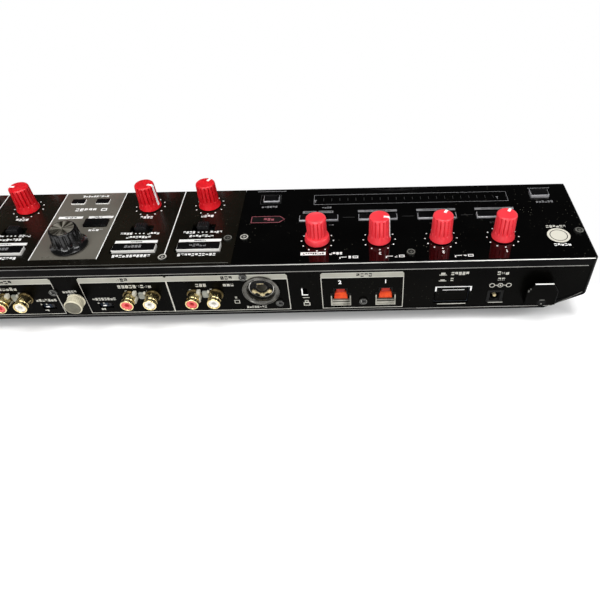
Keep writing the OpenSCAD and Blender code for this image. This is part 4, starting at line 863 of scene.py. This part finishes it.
def numeral(text, size):
    """Plain digits as a thin solid, in millimetres, centred and reading along +x with its top at +y."""
    curve = bpy.data.curves.new("numeral", "FONT")
    curve.body = text
    curve.size = size
    curve.align_x = curve.align_y = "CENTER"
    curve.resolution_u = 4
    curve.extrude = 0.02
    curve.offset = size * 0.025
    holder = bpy.data.objects.new("numeral", curve)
    bpy.context.scene.collection.objects.link(holder)
    bpy.context.view_layer.update()
    mesh = bpy.data.meshes.new_from_object(holder.evaluated_get(bpy.context.evaluated_depsgraph_get()))
    points = np.empty(len(mesh.vertices) * 3)
    mesh.vertices.foreach_get("co", points)
    faces = [list(face.vertices) for face in mesh.polygons]
    bpy.data.objects.remove(holder)
    bpy.data.curves.remove(curve)
    bpy.data.meshes.remove(mesh)
    return points.reshape(-1, 3) + np.array([0, 0, 0.02]), faces


def top_numeral(text, x, d, size):
    """Digits printed on the top, readable from the front."""
    return moved(numeral(text, size), (mm(x), REAR - mm(d), TOP))


def rear_numeral(text, x, h, size):
    """Digits printed on the rear panel, readable from behind."""
    points, faces = numeral(text, size)
    return on_rear((points * np.array([-1, -1, 1]), faces), x, h)


def plate_disc(x, d, r, high=INK_T, columns=32):
    """A flat round mark on the top."""
    return moved(rod([(r, -0.01), (r, high)], columns), at(x, d))


def rear_ring(x, h, r0, r1, low=-0.01, high=INK_T):
    """A flat ring on the rear panel."""
    return on_rear(hollow(turned([(r1, low), (r1, high), (r0, high), (r0, low)])), x, h)


def scale_dots(x, d, radius=9.8, dot_r=0.45):
    """Dots round a knob over 300 degrees, the gap towards the front."""
    return [(plate_disc(x + radius * math.sin(a), d - radius * math.cos(a), dot_r, columns=12), WHITE_INK_AND_GLINT)
            for a in np.radians(np.linspace(-150, 150, 11))]


def cable_icon(x, d):
    """A lead's foot and line, a letter's place and a small frame, running towards -X."""
    return (frame_bars(x - 11.6, x - 8.2, d - 1.2, d + 1) + scribble(x - 7.4, x - 5.2, d - 1.2, d + 1)
            + [(x - 4.4, x - 0.2, d - 0.2, d + 0.25), (x - 0.7, x, d - 1.6, d + 0.25)])


def screw_rims(spots, material):
    """Painted highlights on the plate screws: a ring round each head and a glint in each slot, each spot x and d."""
    ring = hollow(turned([(2.6, 1), (2.6, 1.23), (1.9, 1.23), (1.9, 1)], 40))
    rings = [(moved(ring, at(x, d)), material) for x, d in spots]
    return rings + [(top_bars([(x - 1, x + 0.9, d - 0.2, d + 0.3), (x - 0.3, x + 0.3, d - 0.9, d + 0.8)], lift=1.2),
                     material) for x, d in spots]


# The decks' own marks
BEATS_X = FX_X[3] * 1000
for side, deck in DECKS.items():
    s = deck * 1000
    sign = 1 if deck > 0 else -1
    parts, white, grey, dim, over = [], [], [], [], []
    for i, x in enumerate(FX_X):
        x = x * 1000
        parts += scale_dots(s + x, 22.7, 10.2, 0.5)
        if i < 3:
            parts.append((top_numeral(str(i + 1), s + x, 9, 3.4), WHITE_INK_AND_GLINT))
            grey += [(x - 13.2, x + 13.2, 52.6, 54.9)]
            dim += scribble(x - 9, x + 9, 53.1, 54.4)
            dim += [(x + 15.4, x + 23.4, 46.9, 47.3)]
        dim += scribble(x - 6, x + 6, 37.4, 39.2)
    x = BEATS_X
    grey += [(x - 9.6, x + 0.4, 52.4, 54.9), (x + 1.8, x + 11, 52.4, 54.9)]
    grey += words((x - 9, x - 1, 57.8, 59.6), (x - 11, x - 6, 38, 40))
    over += words((x - 9, x, 53, 54.2), (x + 2.4, x + 10, 53, 54.2))
    white += [(54.9, 70.6, 8.5, 11.3)] + scribble(43.6, 53.8, 8.6, 10.9)
    over += scribble(55.6, 69.8, 9.1, 10.7)
    white += cable_icon(46.3, 6) + cable_icon(17.6, 6) + cable_icon(-25, 5.3)
    grey += frame_bars(-69.5, 64.5, 62.3, 73.8, 0.3)
    dim += [(k, k + 0.35, 66.4, 69.6) for k in np.arange(-60, 60, 5.6)]
    grey += [(foot - k, foot + k + 0.3, 64.6 + 4 * k, 65.4 + 4 * k) for foot in (63.3, -62.6) for k in (0, 0.3, 0.6)]
    dim += frame_bars(87.4, 101.6, 64.4, 75.2, 0.3)
    grey += scribble(88.6, 101, 59.8, 61.8) + [(84.4, 104.6, 79.2, 79.7)]
    grey += scribble(-100.6, -86.6, 59.4, 61.6) + [(-101, -85.5, 76.7, 77.1)]
    for x, d, w, h, _ in DECK_KEYS[10:]:
        white += scribble(x - w / 2, x + w / 2, d + h / 2 + 1.6, d + h / 2 + 3.2)
    for x in MODE_X:
        white += scribble(x - 9, x + 9, 250.2, 251.8)
    white += words(*[(-96, -84, d + 13, d + 15) for d in (264, 300)])
    ticks = np.arange(-30, 31, 3)
    grey += [(101, 104 if k % 15 else 106, 160 + k - 0.15, 160 + k + 0.15) for k in ticks]
    grey += [(88, 91 if k % 15 else 86, 160 + k - 0.15, 160 + k + 0.15) for k in ticks]
    white += [(84, 90, 159.7, 160.3), (101.5, 107.5, 159.7, 160.3)]
    parts += [(top_bars(white, s), WHITE_INK_AND_GLINT), (top_bars(grey, s), INK_GREY), (top_bars(dim, s), INK_DIM),
              (top_bars(over, s, INK_T), INK_DARK)]
    # A plain pale disc with a ring, and greeked words beside it
    parts.append((plate_disc(s - 93.9, 23.2, 7.3, 0.05, 64), INK_CREAM))
    ring = hollow(turned([(5.7, 0.04), (5.7, 0.07), (5.2, 0.07), (5.2, 0.04)], 64))
    parts += [(moved(ring, at(s - 93.9, 23.2)), INK_DARK),
              (top_bars(scribble(-101, -87.5, 31.3, 33.7), s), WARM_INK_AND_GLINT),
              (top_bars(scribble(-100, -87.7, 12.6, 15), s), WHITE_INK_AND_GLINT)]
    arrow = np.array([(11.2, -3.6), (11.2, 3.6), (-7.8, 3.6), (-11.2, 0), (-7.8, -3.6)])[::-1]
    for inset, low, high, ink in ((0, -0.01, INK_T, INK_PINK), (0.4, 0.01, INK_T + 0.02, INK_DARK)):
        ring = arrow * (1 - inset / np.array([11.2, 3.6]))
        parts += set_at(at(s + 94.4, 46.5), (closed(stacked([(ring, low), (ring, high)])), ink))
    parts.append((top_bars(scribble(89.4, 98.4, 45.2, 47.9), s, INK_T), INK_PINK))
    # Painted highlights on this deck's plate screws
    parts += screw_rims([(sign * 111.2, 26.9)], SCREW_GLINT)
    parts += screw_rims([(sign * 217.2, 8.6), (sign * 327, 26.9)], DIM_GLINT)
    piece(f"deck_marks_{side}", parts, "case")

# The mixer's marks
white, over, load_words = [], [], []
parts = [(moved(boxes([(-20.8, 20.8, -222, -9.2, -0.01, 0.03)]), (0, REAR, TOP)), LIBRARY)]
white += [(x - 0.3, x + 0.3, 9.2, 222) for x in (-62.9, -21.1, 21.1, 62.9)]
for c, column in COLUMNS.items():
    x = column * 1000
    white += [(x - 13.6, x + 13.6, 24.2, 26.8)]
    over += scribble(x - 4, x + 4, 24.9, 26.1)
    load_words += scribble(x - 6, x + 6, 17, 19.4)
    white += words((x - 12.4, x + 12.4, 10.2, 12.6), (x - 9, x + 9, 29.2, 31.4), (x - 13, x - 4.6, 33, 35.2),
                   (x + 4.6, x + 13, 33, 35.2))
    white += [(x + k - 0.5, x + k + 0.5, 33.8, 34.6) for k in (-2.6, 0, 2.6)]
    white += scribble(x - 4.6, x + 4.6, 50.6, 53)
    parts += scale_dots(x, 64, dot_r=0.5)
    for row in (107, 138, 169):
        parts += scale_dots(x, row)
        white += scribble(x - 5, x + 5, row + 11.6, row + 13.4)
    white += scribble(x - 6, x + 6, 190, 192)
    white += [(x + low, x + high, 244 + k - 0.2, 244 + k + 0.2) for low, high in ((-10.5, -7.2), (7.2, 10.5))
              for k in np.linspace(-22.5, 22.5, 11)]
    parts.append((top_numeral(str(c), x, 281, 6.5), WHITE_INK_AND_GLINT))
for column in (-31.5, 31.5):
    for k in range(10):
        kind = "red" if k > 8 else "amber" if k > 6 else "green"
        parts.append((top_bars([(column - 2.2, column + 2.2, 196 - k * 6, 199 - k * 6)]), LAMP[kind]))
white += [(1.3, 17.6, 51.8, 54.3), (-19.3, -2.7, 51.8, 54.3)]
over += words((5.5, 13.5, 52.5, 53.7), (-12, -6, 52.5, 53.7))
white += words((-16.3, -6.5, 37.8, 40.4), (-6.6, 11, 60.4, 63.6)) + frame_bars(-12.4, -8.4, 60.4, 63.4, 0.7)
for d in (107, 169):
    parts += scale_dots(0, d)
    white += scribble(-9, 9, d + 12, d + 14)
white += words((-10, 10, 77, 79), (-8, 8, 290, 292))
white += [(k - 0.2, k + 0.2, 293.5, 296) for k in np.linspace(-22.5, 22.5, 9)]
# Among these, the faint pale line along the mixer plate's rear edge is a painted highlight
parts += [(top_bars(white), WHITE_INK_AND_GLINT), (top_bars(over, lift=INK_T), INK_DARK), (top_bars([(-104, 104, 3, 3.3)]), FAINT_GLINT),
          (top_bars(load_words, lift=2.2), INK_GREY)]
# Painted highlights on the mixer's plate screws
parts += screw_rims([(-62.7, 8.6), (62.7, 8.6)], SCREW_GLINT)
parts += screw_rims([(-100.8, 26.4), (100.8, 26.4)], DIM_GLINT)
piece("mixer_marks", parts, "case")

# The rear panel's marks: blocks round groups of sockets, each a pale header over a thin outline
HEADER = (7.9, 12.2)
BLOCKS = [(8.2, 63.4), (-63.4, -8.6), (-139.6, -63.4), (63.4, 139.6), (-212.8, -160.4), (160.4, 240.6), (241.2, 270.6),
          (275.4, 318)]
parts, thin, dark, edges = [], [], [], []
for x0, x1 in BLOCKS:
    h0, h1 = HEADER
    corners = np.array([(x0, h1), (x0, h0 + 1.1), (x0 + 1.1, h0), (x1 - 1.1, h0), (x1, h0 + 1.1), (x1, h1)])
    parts += set_rear(0, 0, (closed(stacked([(corners, -0.01), (corners, INK_T)])), HEADER_INK))
    edges += [(x0 + 1, x1 - 1, h0, h0 + 0.5), (x0, x1, h1 - 0.5, h1)]
    thin += frame_bars(x0, x1, h1 - 0.42, 38.8, 0.42)
# Dark words on the headers, pale words and letters below, in blocks seen from behind right to left
for x0, x1 in ((-31.5, -40.9), (31.5, 40.9), (-97.2, -105.8), (97.2, 105.8), (-181.8, -193.5), (195, 207), (251, 261),
               (291, 302)):
    dark += scribble(x0, x1, 8.7, 11.5)
pale = [(half * x0, half * x1, h, size) for x0, x1, h, size in ((30.7, 54.2, 15.9, 2.6), (80.4, 88.3, 16, 2.6),
        (97, 106.5, 15.9, 2.6), (110, 124.6, 36.1, 1.8)) for half in (-1, 1)]
pale += [(-12.2, -28.2, 26.2, 2.1), (10, 24, 26.2, 2.1), (4.6, -5.4, 19.2, 2), (2.4, -3.6, 22, 2),
         (-241.1, -254.4, 10.5, 2.5), (-269.9, -279.6, 10.9, 2.8), (-271.8, -276.8, 16.3, 2.7),
         (-240.9, -245.2, 15.4, 2.5), (186, 214, 36.1, 1.8), (292, 301, 16, 2.4)]
for x0, x1, h, size in pale:
    thin += scribble(x0, x1, h - size / 2, h + size / 2)
for x, white_one in PHONO:
    x = x + (2.6 if white_one else 2)
    thin += scribble(x - 0.9, x + 0.9, 19.2, 21.2)
parts += [(rear_numeral("2", -172.4, 16, 4.2), WHITE_INK_AND_GLINT), (rear_numeral("1", -201.3, 16, 4.2), WHITE_INK_AND_GLINT)]
for h, high in ((10.5, 1.5), (15.5, 0.7)):
    thin += [(-234.9, -239.6, h + 0.8, h + 1.3), (-235.9, -238.6, h + 0.6 - high, h + 0.6)]
for x in (-269.3, -274.6, -279.9):
    parts.append((rear_ring(x, 21.3, 1.35, 1.8), WARM_INK_AND_GLINT))
parts.append((rear_ring(-274.6, 21.3, 0.1, 0.55), WARM_INK_AND_GLINT))
# Two short bars join the DC rings; the third is a painted highlight along the DC socket's lower edge
thin += [(-271.2, -272.7, 21.1, 21.5), (-276.5, -278, 21.1, 21.5), (-268.6, -278.2, 36.2, 36.7)]
# Painted highlights along the edges of the power recess and the lock's lip, and small marks by the lock and the
# switches
bright = [(-233.2, -256.6, 21.5, 22.1), (-233.2, -234.2, 22.1, 25.6), (-255.6, -256.6, 22.1, 25.4),
          (-238, -252, 24.3, 24.7), (-147.6, -148.4, 20.6, 25.8), (-147.6, -151.6, 25.8, 26.6)]
thin += [(-235.4, -253.9, 36.6, 37.2), (-148, -152.4, 28.4, 28.9)]
thin += frame_bars(-152.4, -148.2, 33, 35.8) + frame_bars(-151.5, -149.1, 31, 33)
thin += scribble(-103.6, -106.4, 26, 28) + frame_bars(-107, -103.6, 29.6, 32.6, 0.4)
for x in (-17.3, 19.7):
    thin += [(x - 2.2, x - 1.2, 29.4, 30.2), (x + 1.2, x + 2.2, 29.4, 30.2)] + scribble(x - 2, x + 2, 34.4, 36)
    bright += [(x - 3, x - 0.6, 31.6, 32.4)]
# Painted highlights along the panel's edges: a line near its top, a line along its foot and a slant beside the hook.
# The line along the panel's foot stands proud of the case's lip, and so does the slant beside the hook
PROUD = 0.34
parts += [(rear_bars(thin), WARM_INK_AND_GLINT), (rear_bars(edges, 0.03), WARM_INK_AND_GLINT), (rear_bars(bright), WHITE_INK_AND_GLINT),
          (rear_bars([(-327, 327, 5.7, 6.3)]), EDGE_GLINT),
          (rear_bars([(-222, 311, 39.9, 40.3)], high=PROUD), FAINT_GLINT),
          (rear_bars([(-311, -222, 39.9, 40.4)], high=PROUD), EDGE_GLINT), (rear_bars(dark, INK_T), INK_DARK)]
slant = np.array([(-311, 39.9), (-311, 40.3), (-328.6, 28.5), (-328.6, 28.1)])
parts += set_rear(0, 0, (closed(stacked([(slant, -0.01), (slant, PROUD)])), DIM_GLINT))
# Painted highlights on the panel screws: a dim ring round each head and two small glints
for x, h in ((-112, 9.5), (-132.9, 32.4), (132, 9.5), (111.1, 32.4), (-187, 32.3), (200.5, 33), (9.5, 19)):
    parts += [(rear_ring(x, h, 2.2, 2.45, 1, 1.22), DIM_GLINT),
              (rear_bars([(x + 0.9, x + 1.5, h - 1.4, h + 0.7), (x - 0.9, x + 0.6, h + 1.1, h + 1.5)], 1.2),
               FAINT_GLINT)]
piece("rear_marks", parts, "case")

# ---------- finishes for what the frame carries over ----------

for node, material in (("lower_case", PLASTIC), ("top_case", UPPER), ("rear_panel", PRINTED), ("deck_plates", GLOSS),
                       ("mixer_plate", SATIN), ("boards", BOARD), ("control_bodies", PARTS), ("feet", RUBBER),
                       ("screws", SCREW), ("phono_switches", LEVER)):
    dress(node, material)

# ---------- floor, lamps and camera ----------

scene = bpy.context.scene
WHITE = (1, 1, 1, 1)
FLOOR_LIFT = 0.5
AMBIENT = 0.03
ROLL = -1.2


def seen_ray(tree):
    """One for rays from the camera, off a shiny surface or through glass, otherwise nought."""
    rays = wire(tree, "LightPath").node.outputs
    shiny = calc(tree, "MAXIMUM", rays["Is Camera Ray"], rays["Is Glossy Ray"])
    return calc(tree, "MAXIMUM", shiny, rays["Is Transmission Ray"])


def pale_floor():
    """A wide pale floor that shows white but for the shadow on it, lifted more where the lamps no longer reach,
    and not at all right round the desk's edge, so that a painted shadow band rings the desk."""
    material = bpy.data.materials.new("floor_white")
    material.use_nodes = True
    tree = material.node_tree
    tree.nodes.clear()
    place = wire(tree, "TexCoord", out="Object")
    away = wire(tree, "VectorMath", {0: place}, "Value", operation="LENGTH")
    rise = ramp(tree, away, 0.7, 3, FLOOR_LIFT, 1)
    folded = wire(tree, "VectorMath", {0: place}, operation="ABSOLUTE")
    past = axes(tree, wire(tree, "VectorMath", {0: folded, 1: (SIDE, REAR, 0)}, operation="SUBTRACT"))
    # Painted shadow: no lift within about 12 mm of the desk's edge, so a darker band rings it
    close = ramp(tree, calc(tree, "MAXIMUM", past[0], past[1]), mm(-12), mm(12), interpolation_type="SMOOTHSTEP")
    strength = calc(tree, "MULTIPLY", calc(tree, "MULTIPLY", seen_ray(tree), rise), close)
    lift = wire(tree, "Emission", {"Color": WHITE, "Strength": strength})
    diffuse = wire(tree, "BsdfDiffuse", {"Color": (0.8, 0.8, 0.8, 1)})
    feed(tree.nodes.new("ShaderNodeOutputMaterial"), {"Surface": wire(tree, "AddShader", {0: diffuse, 1: lift})})
    mesh = bpy.data.meshes.new("floor")
    mesh.from_pydata([(-6, -6, 0), (6, -6, 0), (6, 6, 0), (-6, 6, 0)], [], [(0, 1, 2, 3)])
    mesh.materials.append(material)
    floor = bpy.data.objects.new("floor", mesh)
    scene.collection.objects.link(floor)


pale_floor()

world = bpy.data.worlds.new("studio")
scene.world = world
world.use_nodes = True
tree = world.node_tree
tree.nodes.clear()
# For shiny surfaces the white backdrop ends low down, with a dim ceiling above it
fade = ramp(tree, axes(tree, wire(tree, "TexCoord", out="Generated"))[2], 0.1, 0.3, 1, 0)
shiny = calc(tree, "MULTIPLY", fade, seen_ray(tree))
either = calc(tree, "MAXIMUM", shiny, wire(tree, "LightPath", out="Is Camera Ray"))
surround = wire(tree, "Background", {"Color": WHITE, "Strength": AMBIENT})
backdrop = wire(tree, "Background", {"Color": WHITE, "Strength": 1})
feed(tree.nodes.new("ShaderNodeOutputWorld"),
     {"Surface": wire(tree, "MixShader", {0: either, 1: surround, 2: backdrop})})


def lamp(name, place, aim, size, power):
    """A soft white lamp at a place, facing a point."""
    light = bpy.data.lights.new(name, "AREA")
    light.shape = "RECTANGLE"
    light.size, light.size_y = size
    light.energy = power
    obj = bpy.data.objects.new(name, light)
    obj.location = place
    obj.rotation_mode = "QUATERNION"
    obj.rotation_quaternion = (Vector(aim) - Vector(place)).to_track_quat("-Z", "Y")
    scene.collection.objects.link(obj)


lamp("over", (0, 0.25, 1.5), (0, 0.05, 0), (1.2, 0.8), 17)
lamp("behind", (0.3, 1.7, 0.9), (0, 0.1, 0.02), (1.2, 0.7), 22)
lamp("side", (-1.15, 0.5, 0.9), (-0.1, 0.1, 0.02), (0.6, 0.6), 9)


def main_camera():
    """The view from behind and above: forward (0, -0.7145, -0.6997), right along -X, rolled by ROLL degrees."""
    camera = bpy.data.cameras.new("camera")
    camera.sensor_width = 36
    camera.lens = 34.965
    camera.shift_x = -0.098
    camera.clip_start = 0.01
    camera.clip_end = 0.4148
    forward = Vector((0, -0.7145, -0.6997)).normalized()
    right = Vector((-1, 0, 0))
    up = right.cross(forward)
    c, s = math.cos(math.radians(ROLL)), math.sin(math.radians(ROLL))
    right, up = right * c + up * s, up * c - right * s
    obj = bpy.data.objects.new("camera", camera)
    turn = Matrix((right, up, -forward)).transposed()
    obj.matrix_world = Matrix.Translation((-0.18413, 0.43804, 0.28523)) @ turn.to_4x4()
    scene.collection.objects.link(obj)
    scene.camera = obj


main_camera()
scene.view_settings.view_transform = "Standard"
